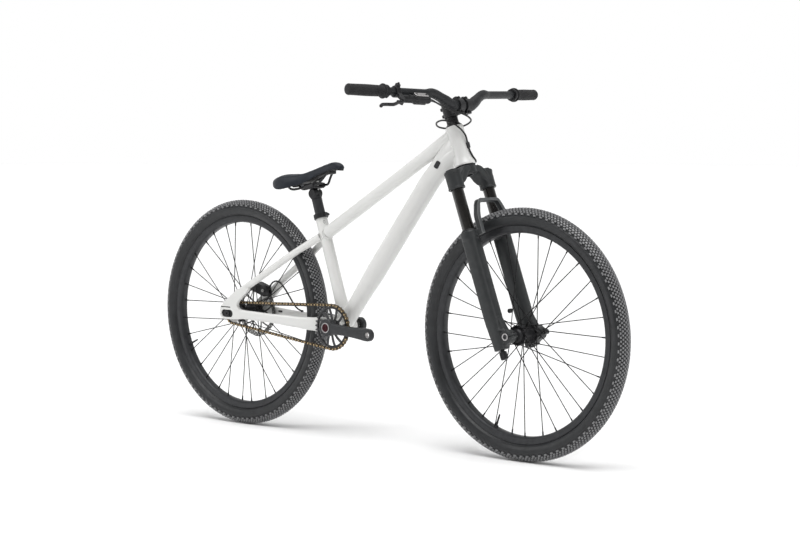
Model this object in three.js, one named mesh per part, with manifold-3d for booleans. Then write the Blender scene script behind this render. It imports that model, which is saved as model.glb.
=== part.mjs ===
// Dirt jump bike: a hardtail with a suspension fork, one speed and a rear disc brake.
// Millimetres. +X points forward, +Y to the rider's left and +Z up.
// The origin lies on the ground, midway between the two axles.

import * as THREE from 'three';
import { mergeVertices } from 'three/addons/utils/BufferGeometryUtils.js';
import Module from 'manifold-3d';

const wasm = await Module();
wasm.setup();

// Driving dimensions of the whole bike
const frontCentre = 670.7;
const bracketRoom = 71.3;
const bottomBracketDrop = 18.3;
const headAngle = 69.7;
const forkOffset = 37;
const forkLength = 499;
const forkTravel = 100;
const seatAngle = 71.7;
const seatTubeShift = 15;

// Fits shared by all pieces
const seam = 0.3;
const runningGap = 0.4;
const overrun = 6;

// Facet counts
const wheelSides = 32;
const discSides = 28;
const fineSides = 24;
const ringSides = 20;
const headSides = 16;
const leverSides = 14;
const roundSides = 12;
const tubeSides = 10;
const smallSides = 10;
const cordSides = 8;
const railSides = 6;
const ventSides = 4;
const spokeSides = 3;
const pinSides = 3;
const railSteps = 34;
const brakeHoseSteps = 46;
const caliperHoseSteps = 14;

// Powers of the oval sections; above 2 the corners square off
const roundPower = 2;
const seatStayPower = 2.4;
const bladePower = 2.6;
const chainStayPower = 3.2;
const armPower = 3.4;

const tyre = { outerRadius: 346, sectionRadius: 27, wall: 3, beadHeight: 5, crownWall: 5 };
const rim = { halfWidth: 16, hookHeight: 9.3, floorDepth: 10, wall: 3.2, shoulder: 6, backHalf: 9 };
const spoke = { radius: 1.35, hubSide: 1.8, rimSide: 1.2, rimPlace: 5, holeInset: 4.5 };

const frontHub = {
  shellRadius: 16, flangePlace: 27, flangeRadius: 28, flangeWall: 5, endRadius: 14.5, bore: 10.4,
  discRadius: 25, discPlace: 39, discWall: 5,
};
const rearHub = {
  shellRadius: 17, rightFlange: 22, leftFlange: 30, flangeRadius: 29, flangeWall: 5,
  endRadius: 16, bore: 7.9, discRadius: 23, discWall: 6,
};
const rearAxle = {
  radius: 7.5, shoulderRadius: 10.5, headRadius: 8.6, headDepth: 4.6, keyRadius: 3, keyDepth: 3,
};
const frontAxle = { radius: 10, end: 81.5, keyRadius: 6.5, keyDepth: 5 };

const headTube = {
  length: 115.5, topRadius: 26, waistRadius: 25, baseRadius: 31, flareHeight: 22, bore: 22.4, cupBore: 26.2,
  cupDepth: 12, lip: 3,
};
const topTube = { join: 95, seatDrop: 60, seatHalf: 18.5, bodyHalf: 18.5, headTall: 20.5, headWide: 22, wall: 2 };
const downTube = {
  straight: 533, bend: 60, join: 50, angle: 52, rootTall: 24, rootWide: 26, bodyHalf: 28.5, headTall: 26.5,
  headWide: 28, wall: 2,
};
const seatTube = { length: 341, radius: 17.5, baseRadius: 19.5, baseLength: 120 };
const collar = { radius: 21.5, grip: 10, lip: 5, bossReach: 8, bossHalf: 6, bossWide: 9 };
const seatPost = { radius: 15.45, fit: 0.35, insert: 150, wall: 2.6, headRise: 68, headRadius: 15, headHalf: 17 };
const shell = { half: 36.5, radius: 22.5, bore: 18.6 };
const cup = { flange: 21.5, reach: 9.5, insert: 14 };
const seatStay = {
  rootDrop: 61, rootSide: 11, bendSide: 39, bendDrop: 18.6, endAhead: 45, endRise: 64.5, endSide: 72, rootTall: 11, rootWide: 8,
  tall: 10.2, wide: 8,
};
const chainStay = {
  rootBack: 10, rootSide: 24, rootRise: 4, passBack: 92, passSide: 42, endAhead: 62, endSide: 72, rootTall: 22,
  passTall: 19.5, midTall: 16, endTall: 13.6, wide: 7.2,
};
const dropout = {
  inner: 67.5, wall: 10, back: 32, backTall: 12, low: 18, ahead: 66, webAhead: 48, webRise: 36, slotHalf: 6.5,
  slotRadius: 10.5, slotDepth: 5, grooveRise: 19, grooveWide: 1.6, grooveLong: 40,
};
const mountPost = { face: 61.8, outer: 70, long: 78, low: 24, high: 2 };

const stanchion = { radius: 17, wall: 2.5, spread: 68, forward: 5, insert: 158, capRoom: 2 };
const crown = {
  socketRadius: 24, socketDrop: 14, socketTall: 51, neckRadius: 29, neckHeight: 22, bridgeTall: 15, bridgeDeep: 22,
};
const crownCap = { radius: 19, height: 4.5, plug: 12 };
const lowers = {
  travelRoom: 22, radius: 23.5, collarRadius: 25.5, collarHeight: 14, endRadius: 19, endHeight: -28, bore: 17.5,
  floor: 34, bossRadius: 19, bossInner: 55, bossOuter: 81, webTall: 70,
};
const arch = {
  back: 34, front: 48, tyreRoom: 45, topHalf: 43, footHalf: 66, band: 11, shoulderCut: 1.8, footDrop: 13, padTall: 16,
  padWide: 18,
};
const pinch = { reach: 40, tall: 11, inner: 62, outer: 80, slit: 2.2, slitDepth: 16 };
const discTab = { reach: 50, tall: 7, wide: 8, low: 18, high: 92 };
const knob = { radius: 10.5, length: 27, neck: 5, neckRadius: 6 };
const steerer = { radius: 14.3, baseRadius: 19.2, wall: 2.6, taperRise: 13, taperHeight: 55, sink: 20 };
const bearing = { height: 10, lipRadius: 29.5, lipHeight: 2.3 };
const cover = { height: 9.2, baseRadius: 24, topRadius: 17.5 };
const spacer = { height: 17.4, radius: 17 };
const stem = {
  height: 40, radius: 19.5, reach: 45, clampRadius: 21.5, clampHalf: 26, neckHalf: 14, neckTall: 15, slit: 1.2,
  window: 9, clampRise: 18, lugPlace: 17, lugHalf: 5.5, lugRise: 7, lugDepth: 9, capHeight: 5, capRadius: 16.5,
};
const bar = {
  clampRadius: 15.9, middleRadius: 13.6, gripRadius: 11.1, wall: 2.6, endHalf: 399, flatHalf: 36, bendHalf: 105,
  rise: 34, endRise: 56, endBack: 39,
};
const grip = {
  length: 132, radius: 15.6, flangeRadius: 20.5, flangeWidth: 5, collarRadius: 18, collarWidth: 12, capDepth: 3,
};
const lever = {
  gripGap: 29, clampHalf: 7.5, clampRadius: 16.5, bodyDrop: 38, bodyRadius: 10.5, bodyInboard: 94, bodyOutboard: 13,
  pinHole: 2.7, neckWide: 7, pivotDrop: 52, pivotPlace: 14, earHalf: 9, earWall: 3, earRadius: 6, bladeRoot: 5.5,
  bladeTip: 4, bladeLength: 92, bladeOut: 20, bladeHook: 9, bladeWide: 4.6, tankRise: 7, tankHalf: 24, aim: 52,
};

const crank = {
  length: 170, angle: -3.4, bossRadius: 25, bossFace: 78, leftBossRadius: 22, leftBossDepth: 16, eyeFace: 84,
  eyeRadius: 18, eyeWide: 13, bodyTall: 17.5, waistCut: 1.5, pedalBore: 7, spindleRadius: 12, spindleEnd: 71.5,
  keyRadius: 5, boltDish: 2.4,
};
const chain = { pitch: 12.7, line: 49, roller: 3.9, plateHalf: 4.2, innerHalf: 2, outerHalf: 4 };
const sprocket = {
  ringTeeth: 32, cogTeeth: 16, wall: 3, rimWall: 8, hubRadius: 21, arms: 12, armHalf: 2.6, toothRise: 3.6,
  seatGap: 0.5, ringInner: 55, cogHub: 17, cogInner: 33.8, cogOuter: 56.7,
};
const rotor = {
  radius: 80, trackInner: 65, wall: 1.8, place: 52.1, hubRadius: 21, bore: 12, arms: 6, armHalf: 4.5, armShift: 4.2,
  vents: 10, vent: 3,
};
const caliper = {
  angle: 73, reach: 75, long: 78, tall: 32, wide: 30, slotWide: 7.4, slotDepth: 22, padLong: 24, padTall: 13,
  padWall: 2, padGap: 0.5,
};
const saddle = {
  back: 130, front: 126, railRise: 22, tilt: 9, height: 56, thick: 26, baseWall: 4, baseShare: 0.8, widest: 67,
  railHalf: 22, railRadius: 3.5, railBack: 74, railFront: 52, railNose: 92, railNoseHalf: 9, railTail: 104,
  socket: 13,
};
const railClamp = { half: 19, wide: 29, low: 9, high: 31 };

const hose = { radius: 2.5, bow: 7.1 };

// Angles as radians
const radians = THREE.MathUtils.degToRad;
const headLean = radians(90 - headAngle);
const seatLean = radians(90 - seatAngle);

// Main points of the layout
const axleHeight = tyre.outerRadius;
const rearCentre = tyre.outerRadius + bracketRoom;
const wheelbase = rearCentre + frontCentre;
const rearAxlePoint = new THREE.Vector3(-wheelbase / 2, 0, axleHeight);
const frontAxlePoint = new THREE.Vector3(wheelbase / 2, 0, axleHeight);
const bracketPoint = new THREE.Vector3(-wheelbase / 2 + rearCentre, 0, axleHeight - bottomBracketDrop);
const steerUp = new THREE.Vector3(-Math.sin(headLean), 0, Math.cos(headLean));
const steerForward = new THREE.Vector3(Math.cos(headLean), 0, Math.sin(headLean));
const steerFoot = frontAxlePoint.clone().addScaledVector(steerForward, -forkOffset);
const seatUp = new THREE.Vector3(-Math.sin(seatLean), 0, Math.cos(seatLean));
const seatFoot = bracketPoint.clone().add(new THREE.Vector3(seatTubeShift, 0, 0));
const leftward = new THREE.Vector3(0, 1, 0);
const upward = new THREE.Vector3(0, 0, 1);

// Heights along the steering axis
const headTop = forkLength + headTube.length;
const crownTop = forkLength - bearing.lipHeight - seam - runningGap;
const socketTop = crownTop - crown.socketDrop;
const socketBase = socketTop - crown.socketTall;
const lowersTop = socketBase - forkTravel - lowers.travelRoom;

// Radii where the tyre sits in the rim, and the ends of the hubs
const seatRadius = tyre.outerRadius - 2 * tyre.sectionRadius - tyre.beadHeight;
const hookRadius = seatRadius + rim.hookHeight;
const rimInner = seatRadius - rim.floorDepth;
const frontHubEnd = lowers.bossInner - 2 * seam;
const rearHubRight = sprocket.cogInner - runningGap;
const rearHubLeft = rotor.place - rotor.wall / 2 - seam;

function steerPoint(forward, height) {
  return steerFoot.clone().addScaledVector(steerForward, forward).addScaledVector(steerUp, height);
}

function seatPoint(height) {
  return seatFoot.clone().addScaledVector(seatUp, height);
}

// Solids
function solidOf(geometry) {
  const bare = new THREE.BufferGeometry();
  bare.setAttribute('position', geometry.getAttribute('position').clone());
  if (geometry.index) bare.setIndex(geometry.index.clone());
  const joined = mergeVertices(bare);
  const corners = joined.getAttribute('position');
  const picks = joined.index.array;
  const triangles = Array.from({ length: picks.length / 3 }, (_, face) => picks.slice(3 * face, 3 * face + 3));
  const kept = triangles.filter(([a, b, c]) => a !== b && b !== c && c !== a);
  const point = (index) => new THREE.Vector3().fromBufferAttribute(corners, index);
  const volume = kept.reduce((sum, [a, b, c]) => sum + point(a).dot(point(b).cross(point(c))), 0);
  const faces = volume < 0 ? kept.map(([a, b, c]) => [a, c, b]) : kept;
  return new wasm.Manifold(new wasm.Mesh({
    numProp: 3,
    vertProperties: new Float32Array(corners.array),
    triVerts: new Uint32Array(faces.flatMap((corner) => [...corner])),
  }));
}

function geometryOf(solid) {
  const mesh = solid.getMesh();
  const geometry = new THREE.BufferGeometry();
  geometry.setAttribute('position', new THREE.BufferAttribute(new Float32Array(mesh.vertProperties), 3));
  geometry.setIndex(new THREE.BufferAttribute(new Uint32Array(mesh.triVerts), 1));
  geometry.computeVertexNormals();
  return geometry;
}

function joined(...solids) {
  return solids.reduce((sum, next) => sum.add(next));
}

// A profile of [radius, place] pairs turned round the Y axis
function spun(profile, sides = roundSides) {
  return solidOf(new THREE.LatheGeometry(profile.map(([radius, place]) => new THREE.Vector2(radius, place)), sides));
}

// The same, turned round the Z axis
function spunUp(profile, sides = roundSides) {
  const points = profile.map(([radius, place]) => new THREE.Vector2(radius, place));
  return solidOf(new THREE.LatheGeometry(points, sides).rotateX(Math.PI / 2));
}

function disc(radius, from, to, sides = roundSides) {
  return spun([[0, from], [radius, from], [radius, to], [0, to]], sides);
}

function post(radius, from, to, sides = roundSides) {
  return spunUp([[0, from], [radius, from], [radius, to], [0, to]], sides);
}

function washer(inner, outer, from, to, sides = roundSides) {
  return spun([[inner, from], [outer, from], [outer, to], [inner, to], [inner, from]], sides);
}

function pipe(inner, outer, from, to, sides = roundSides) {
  return spunUp([[inner, from], [outer, from], [outer, to], [inner, to], [inner, from]], sides);
}

function box(long, wide, tall, centre = new THREE.Vector3()) {
  return solidOf(new THREE.BoxGeometry(long, wide, tall).translate(centre.x, centre.y, centre.z));
}

function moved(solid, x, y, z) {
  return solid.translate([x, y, z]);
}

// A closed skin over rings of points that all turn the same way
function loft(rings) {
  const sides = rings[0].length;
  const index = [];
  for (let row = 0; row < rings.length - 1; row += 1) {
    for (let side = 0; side < sides; side += 1) {
      const next = (side + 1) % sides;
      const [a, b] = [row * sides + side, row * sides + next];
      index.push(a, b, a + sides, b, b + sides, a + sides);
    }
  }
  const last = (rings.length - 1) * sides;
  for (let side = 1; side < sides - 1; side += 1) {
    index.push(0, side + 1, side);
    index.push(last, last + side, last + side + 1);
  }
  const geometry = new THREE.BufferGeometry().setFromPoints(rings.flat());
  geometry.setIndex(index);
  return solidOf(geometry);
}

// A ring round a centre; a power above 2 squares its corners off
function ovalRing(centre, sideways, rising, halfWide, halfTall, sides, power = roundPower) {
  const bend = (value) => Math.sign(value) * Math.abs(value) ** (2 / power);
  const startShare = power > roundPower ? 0.5 : 0;
  return Array.from({ length: sides }, (_, side) => {
    const turn = ((side + startShare) / sides) * 2 * Math.PI;
    return centre.clone()
      .addScaledVector(sideways, halfWide * bend(Math.cos(turn)))
      .addScaledVector(rising, halfTall * bend(Math.sin(turn)));
  });
}

// A tube along a curve; each station is [share of the length, half height, half width]
function sweptTube(curve, stations, sides, power = roundPower, across = leftward) {
  const rings = stations.map(([lengthShare, halfTall, halfWide]) => {
    const tangent = curve.getTangentAt(lengthShare).normalize();
    const sideways = across.clone().addScaledVector(tangent, -across.dot(tangent)).normalize();
    const rising = new THREE.Vector3().crossVectors(tangent, sideways);
    return ovalRing(curve.getPointAt(lengthShare), sideways, rising, halfWide, halfTall, sides, power);
  });
  return loft(rings);
}

function hollowTube(curve, stations, wall, sides, across = leftward) {
  const inside = stations.map(([lengthShare, tall, wide]) => [lengthShare, tall - wall, wide - wall]);
  const bore = sweptTube(curve, inside, sides, roundPower, across);
  return sweptTube(curve, stations, sides, roundPower, across).subtract(bore);
}

// A cord through a hand-chosen list of points
function cord(points, radius, steps, sides = cordSides) {
  const curve = new THREE.CatmullRomCurve3(points.map(([x, y, z]) => new THREE.Vector3(x, y, z)));
  const ring = new THREE.Shape(Array.from({ length: sides }, (_, side) => {
    const turn = (side / sides) * 2 * Math.PI;
    return new THREE.Vector2(radius * Math.cos(turn), radius * Math.sin(turn));
  }));
  return solidOf(new THREE.ExtrudeGeometry(ring, { steps, extrudePath: curve, bevelEnabled: false }));
}

// An outline of [x, z] pairs given a thickness from one Y to another
function plate(outline, from, to, holes = []) {
  const shape = new THREE.Shape(outline.map(([x, z]) => new THREE.Vector2(x, z)));
  shape.holes = holes.map((hole) => new THREE.Path(hole.map(([x, z]) => new THREE.Vector2(x, z))));
  const geometry = new THREE.ExtrudeGeometry(shape, { depth: to - from, bevelEnabled: false });
  return solidOf(geometry.rotateX(Math.PI / 2).translate(0, to, 0));
}

function circle(radius, sides, x = 0, z = 0, start = 0) {
  return Array.from({ length: sides }, (_, side) => {
    const turn = start + (side / sides) * 2 * Math.PI;
    return [x + radius * Math.cos(turn), z + radius * Math.sin(turn)];
  });
}

// The outline of a slot with round ends along X
function slotOutline(half, radius, x, z, sides = 6) {
  const front = Array.from({ length: sides + 1 }, (_, step) => {
    const turn = -Math.PI / 2 + (step / sides) * Math.PI;
    return [x + half + radius * Math.cos(turn), z + radius * Math.sin(turn)];
  });
  const back = front.map(([px, pz]) => [2 * x - px, 2 * z - pz]);
  return [...front, ...back];
}

// Materials
function paint(colour, roughness, metalness) {
  return new THREE.MeshStandardMaterial({ color: colour, roughness, metalness });
}

const finish = {
  frame: () => paint(0xeeeeec, 0.35, 0),
  rubber: () => paint(0x1c1c1e, 0.8, 0),
  blackMetal: () => paint(0x202124, 0.4, 0.6),
  castGrey: () => paint(0x35373a, 0.45, 0.4),
  steel: () => paint(0xb5b5b2, 0.3, 1),
  chain: () => paint(0x8a6b3c, 0.35, 0.9),
  plastic: () => paint(0x1b1c1e, 0.6, 0),
  fabric: () => paint(0x17181a, 0.75, 0),
};

const bike = new THREE.Group();
const steering = new THREE.Group();
steering.position.copy(steerFoot);
steering.rotation.y = -headLean;
bike.add(steering);

function piece(group, name, solid, material) {
  const mesh = new THREE.Mesh(geometryOf(solid), material);
  mesh.name = name;
  group.add(mesh);
  return mesh;
}

// A solid made in the steering frame, brought into the bike's frame for cutting
function fromSteering(solid) {
  const matrix = new THREE.Matrix4().makeRotationY(-headLean).setPosition(steerFoot);
  return solid.transform(matrix.toArray());
}

function fromSeatTube(solid) {
  const matrix = new THREE.Matrix4().makeRotationY(-seatLean).setPosition(seatFoot);
  return solid.transform(matrix.toArray());
}

// Frame
function headTubeProfile(grow) {
  const foot = forkLength - (grow > 0 ? overrun : 0);
  const top = headTop + (grow > 0 ? overrun : 0);
  const { baseRadius, waistRadius, topRadius, flareHeight, lip } = headTube;
  return [
    [baseRadius + grow, foot], [baseRadius + grow, forkLength + lip],
    [(baseRadius + waistRadius) / 2 + grow, forkLength + flareHeight / 2],
    [waistRadius + grow, forkLength + flareHeight], [waistRadius + grow, headTop - flareHeight],
    [topRadius + grow, headTop - lip], [topRadius + grow, top],
  ];
}

function headTubeSolid() {
  const { bore, cupBore, cupDepth } = headTube;
  const outer = headTubeProfile(0);
  const ledge = forkLength + cupDepth;
  const inner = [[bore, headTop], [bore, ledge], [cupBore, ledge], [cupBore, forkLength]];
  return spunUp([...outer, ...inner, outer[0]], headSides);
}

function headTubeCutter() {
  const outer = headTubeProfile(seam);
  return fromSteering(spunUp([[0, outer[0][1]], ...outer, [0, outer.at(-1)[1]]], headSides));
}

function seatTubeCutter(grow = seam) {
  const { length, radius, baseRadius, baseLength } = seatTube;
  return fromSeatTube(spunUp([
    [0, 0], [baseRadius + grow, 0], [radius + grow, baseLength], [radius + grow, length + overrun],
    [0, length + overrun],
  ]));
}

function shellCutter() {
  const solid = disc(shell.radius + seam, -shell.half - overrun, shell.half + overrun, ringSides);
  return moved(solid, ...bracketPoint.toArray());
}

function topTubeCurve() {
  const seatEnd = seatPoint(seatTube.length - topTube.seatDrop);
  return new THREE.LineCurve3(seatEnd, steerPoint(0, forkLength + topTube.join));
}

function topTubeStations(grow) {
  const { seatHalf, bodyHalf, headTall, headWide } = topTube;
  return [
    [0, seatHalf + grow, seatHalf + grow], [0.75, bodyHalf + grow, bodyHalf + grow],
    [1, headTall + grow, headWide + grow],
  ];
}

function downTubeCurve() {
  const lean = radians(downTube.angle);
  const direction = new THREE.Vector3(Math.cos(lean), 0, Math.sin(lean));
  const bendStart = bracketPoint.clone().addScaledVector(direction, downTube.straight);
  const control = bendStart.clone().addScaledVector(direction, downTube.bend);
  const path = new THREE.CurvePath();
  path.add(new THREE.LineCurve3(bracketPoint.clone(), bendStart));
  path.add(new THREE.QuadraticBezierCurve3(bendStart, control, steerPoint(0, forkLength + downTube.join)));
  return path;
}

function downTubeSolid() {
  const { rootTall, rootWide, bodyHalf, headTall, headWide, wall } = downTube;
  const stations = [
    [0, rootTall, rootWide], [0.12, rootTall, rootWide], [0.3, bodyHalf, bodyHalf], [0.78, bodyHalf, bodyHalf],
    [0.84, bodyHalf, headWide], [0.92, headTall, headWide], [1, headTall, headWide],
  ];
  return hollowTube(downTubeCurve(), stations, wall, tubeSides);
}

function largestOf(solid) {
  return solid.decompose().sort((a, b) => b.volume() - a.volume())[0];
}

function addMainTubes() {
  const head = headTubeCutter();
  const seat = seatTubeCutter();
  const bracket = shellCutter();
  const topOuter = sweptTube(topTubeCurve(), topTubeStations(seam), tubeSides);
  piece(steering, 'head_tube', headTubeSolid(), finish.frame());
  const top = hollowTube(topTubeCurve(), topTubeStations(0), topTube.wall, tubeSides);
  piece(bike, 'top_tube', largestOf(top.subtract(head).subtract(seat)), finish.frame());
  const down = downTubeSolid().subtract(head).subtract(topOuter).subtract(bracket).subtract(seat);
  piece(bike, 'down_tube', largestOf(down), finish.frame());
}

function addSeatTube() {
  const { radius, fit } = seatPost;
  const { length, baseRadius, baseLength } = seatTube;
  const outside = spunUp([
    [0, 0], [baseRadius, 0], [seatTube.radius, baseLength], [seatTube.radius, length], [0, length],
  ]);
  const inside = post(radius + fit, -overrun, length + overrun);
  piece(bike, 'seat_tube', largestOf(fromSeatTube(outside.subtract(inside)).subtract(shellCutter())), finish.frame());
  const ring = spunUp([
    [seatTube.radius + seam, length - collar.grip], [collar.radius, length - collar.grip],
    [collar.radius, length + collar.lip], [radius + fit, length + collar.lip], [radius + fit, length + seam],
    [seatTube.radius + seam, length + seam], [seatTube.radius + seam, length - collar.grip],
  ]);
  const bossLong = collar.bossReach + collar.radius - seatTube.radius - seam;
  const bossMiddle = new THREE.Vector3(seatTube.radius + 2 * seam + bossLong / 2, 0, length - collar.grip / 2 + seam);
  const boss = box(bossLong - 2 * seam, 2 * collar.bossHalf, collar.bossWide, bossMiddle);
  piece(bike, 'seat_collar', fromSeatTube(ring.add(boss)), finish.blackMetal());
}

function addBracket() {
  const at = bracketPoint.toArray();
  const ring = washer(shell.bore, shell.radius, -shell.half, shell.half, ringSides);
  piece(bike, 'bottom_bracket_shell', ring.translate(at), finish.frame());
  for (const [name, side] of [['right', -1], ['left', 1]]) {
    const bore = crank.spindleRadius + runningGap;
    const face = shell.half + seam;
    const profile = [
      [bore, face - cup.insert], [shell.bore - seam, face - cup.insert], [shell.bore - seam, face],
      [cup.flange, face], [cup.flange, face + cup.reach], [bore, face + cup.reach], [bore, face - cup.insert],
    ];
    const solid = spun(profile.map(([radius, place]) => [radius, side * place]), headSides);
    piece(bike, `bracket_cup_${name}`, solid.translate(at), finish.blackMetal());
  }
}

function dropoutOutline(grow = 0) {
  const d = dropout;
  const [x, z] = [rearAxlePoint.x, rearAxlePoint.z];
  const slope = new THREE.Vector2(...staySlope()).normalize();
  const [riseX, riseZ] = [-slope.y * seatStay.tall, slope.x * seatStay.tall];
  const stayEnd = [seatStay.endAhead, seatStay.endRise];
  const backTop = stayEnd[1] + riseZ - (d.back + stayEnd[0] + riseX) * (slope.y / slope.x);
  const points = [
    [-d.back - grow, -d.backTall], [-d.back + d.backTall / 2, -d.low], [d.ahead + grow, -chainStay.endTall],
    [d.ahead + grow, chainStay.endTall], [d.ahead - d.backTall / 2, chainStay.endTall + seam],
    [d.webAhead, d.webRise], [stayEnd[0] - riseX + grow * slope.x, stayEnd[1] - riseZ + grow * slope.y],
    [stayEnd[0] + riseX + grow * slope.x, stayEnd[1] + riseZ + grow * slope.y], [-d.back - grow, backTop],
  ];
  return points.map(([px, pz]) => [x + px, z + pz]);
}

// The seat stays' rise per length, seen from the side
function staySlope() {
  const root = seatPoint(seatTube.length - seatStay.rootDrop);
  return [root.x - rearAxlePoint.x - seatStay.endAhead, root.z - rearAxlePoint.z - seatStay.endRise];
}

function dropoutSolid(side) {
  const d = dropout;
  const [x, z] = [rearAxlePoint.x, rearAxlePoint.z];
  const [near, far] = [side * d.inner, side * (d.inner + d.wall)];
  const body = plate(dropoutOutline(), Math.min(near, far), Math.max(near, far));
  const face = side * (d.inner + d.wall - d.slotDepth);
  const outer = far + side * overrun;
  const recess = plate(slotOutline(d.slotHalf, d.slotRadius, x, z), Math.min(face, outer), Math.max(face, outer));
  const hole = disc(rearAxle.radius + seam, near - side * overrun, far).translate([x, 0, z]);
  const groove = box(d.grooveLong, d.grooveWide, d.grooveWide, new THREE.Vector3(
    x - d.back + d.grooveLong / 2 - overrun, far, z + d.grooveRise,
  ));
  return body.subtract(recess).subtract(hole).subtract(groove);
}

function seatStayCurve(side) {
  const { rootDrop, rootSide, bendSide, bendDrop, endAhead, endRise, endSide } = seatStay;
  const root = seatPoint(seatTube.length - rootDrop).setY(side * rootSide);
  const end = rearAxlePoint.clone().add(new THREE.Vector3(endAhead, side * endSide, endRise));
  const fromAxle = (point) => Math.hypot(point.x - rearAxlePoint.x, point.z - axleHeight);
  const [endReach, rootReach] = [fromAxle(end), fromAxle(root)];
  const bendShare = (tyre.outerRadius - bendDrop - endReach) / (rootReach - endReach);
  const bend = end.clone().lerp(root, bendShare).setY(side * bendSide);
  const middleShare = 0.4;
  const middle = end.clone().lerp(bend, middleShare);
  return new THREE.CatmullRomCurve3([end, middle, bend, root]);
}

function seatStaySolid(side) {
  const { tall, wide, rootTall, rootWide } = seatStay;
  const stations = [
    [0, tall, wide], [0.3, tall, wide], [0.6, tall, wide], [0.75, tall, wide], [0.88, rootTall, rootWide],
    [1, rootTall, rootWide],
  ];
  return sweptTube(seatStayCurve(side), stations, smallSides, seatStayPower);
}

function chainStaySolid(side) {
  const { rootBack, rootSide, rootRise, passBack, passSide, endAhead, endSide } = chainStay;
  const root = bracketPoint.clone().add(new THREE.Vector3(-rootBack, side * rootSide, rootRise));
  const pass = bracketPoint.clone().add(new THREE.Vector3(-passBack, side * passSide, rootRise));
  const end = rearAxlePoint.clone().add(new THREE.Vector3(endAhead, side * endSide, 0));
  const middleShare = 0.5;
  const middle = pass.clone().lerp(end, middleShare);
  const curve = new THREE.CatmullRomCurve3([root, pass, middle, end]);
  const { rootTall, passTall, midTall, endTall, wide } = chainStay;
  const stations = [
    [0, rootTall, wide], [0.12, rootTall, wide], [0.24, passTall, wide], [0.4, midTall, wide], [0.7, endTall, wide],
    [1, endTall, wide],
  ];
  return sweptTube(curve, stations, smallSides, chainStayPower);
}

function stayCutter(side) {
  const near = side * (dropout.inner - overrun);
  const far = side * (dropout.inner + dropout.wall + overrun);
  return plate(dropoutOutline(seam), Math.min(near, far), Math.max(near, far));
}

function addRearTriangle() {
  const topOuter = sweptTube(topTubeCurve(), topTubeStations(seam), tubeSides);
  const middle = box(wheelbase, seam, wheelbase, new THREE.Vector3(0, 0, axleHeight));
  for (const [name, side] of [['right', -1], ['left', 1]]) {
    const ends = stayCutter(side).add(seatTubeCutter());
    const stay = seatStaySolid(side).subtract(ends).subtract(topOuter).subtract(middle);
    const upper = side > 0 ? stay.subtract(brakeBracket(seam)) : stay;
    piece(bike, `seat_stay_${name}`, largestOf(upper), finish.frame());
    const lower = chainStaySolid(side).subtract(ends).subtract(shellCutter());
    piece(bike, `chain_stay_${name}`, largestOf(lower), finish.frame());
  }
  piece(bike, 'dropout_right', dropoutSolid(-1), finish.frame());
  piece(bike, 'dropout_left', dropoutSolid(1).add(brakeBracket()), finish.frame());
}

// The bracket on the left dropout that carries the caliper
function brakeBracket(grow = 0) {
  const { face, outer, long, low, high } = mountPost;
  const middle = new THREE.Vector3(0, (face + outer) / 2 - rotor.place, (high - low) / 2);
  return atCaliper(box(long + 2 * grow, outer - face + 2 * grow, high + low + 2 * grow, middle));
}

// Headset
function addHeadset() {
  const { bore, cupBore } = headTube;
  const low = crownTop + runningGap;
  const inner = steerer.baseRadius + runningGap;
  piece(steering, 'headset_lower', spunUp([
    [inner, low], [bearing.lipRadius, low], [bearing.lipRadius, low + bearing.lipHeight],
    [cupBore - seam, low + bearing.lipHeight], [cupBore - seam, low + bearing.height], [inner, low + bearing.height],
    [inner, low],
  ], headSides), finish.blackMetal());
  const upper = pipe(steerer.radius + runningGap, bore - seam, headTop - bearing.height, headTop - seam, headSides);
  piece(steering, 'headset_upper', upper, finish.blackMetal());
}

// Wheels
const frontWheel = new THREE.Group();
const rearWheel = new THREE.Group();
rearWheel.position.copy(rearAxlePoint);
frontWheel.position.set(forkOffset, 0, 0);
frontWheel.rotation.y = headLean;
steering.add(frontWheel);
bike.add(rearWheel);

function tyreSolid() {
  const { outerRadius, sectionRadius, wall, crownWall } = tyre;
  const centre = outerRadius - sectionRadius;
  const foot = seatRadius + seam;
  const neck = hookRadius + seam;
  const beadHalf = rim.halfWidth - rim.wall - seam;
  const outerShares = [0.78, 0.54, 0.26, 0, -0.26, -0.54, -0.78];
  const outer = outerShares.map((share) => [
    centre + sectionRadius * Math.cos(share * Math.PI), sectionRadius * Math.sin(share * Math.PI),
  ]);
  const inside = sectionRadius - wall;
  const neckTurn = outerShares[0] * Math.PI;
  const innerHalf = [
    [foot, beadHalf - wall], [neck + wall, beadHalf - wall],
    [centre + inside * Math.cos(neckTurn), inside * Math.sin(neckTurn)], [centre, inside],
  ];
  const innerOther = innerHalf.map(([radius, place]) => [radius, -place]);
  return spun([
    [foot, beadHalf], [neck, beadHalf], ...outer, [neck, -beadHalf], [foot, -beadHalf], ...innerOther,
    [outerRadius - crownWall, 0], ...innerHalf.reverse(), [foot, beadHalf],
  ], wheelSides);
}

function rimSolid() {
  const { halfWidth, wall, shoulder, backHalf } = rim;
  const side = [
    [rimInner, backHalf], [rimInner + shoulder, halfWidth], [hookRadius, halfWidth], [hookRadius, halfWidth - wall],
    [seatRadius, halfWidth - wall],
  ];
  const other = side.map(([radius, place]) => [radius, -place]).reverse();
  return spun([...side, ...other, side[0]], wheelSides);
}

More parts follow.
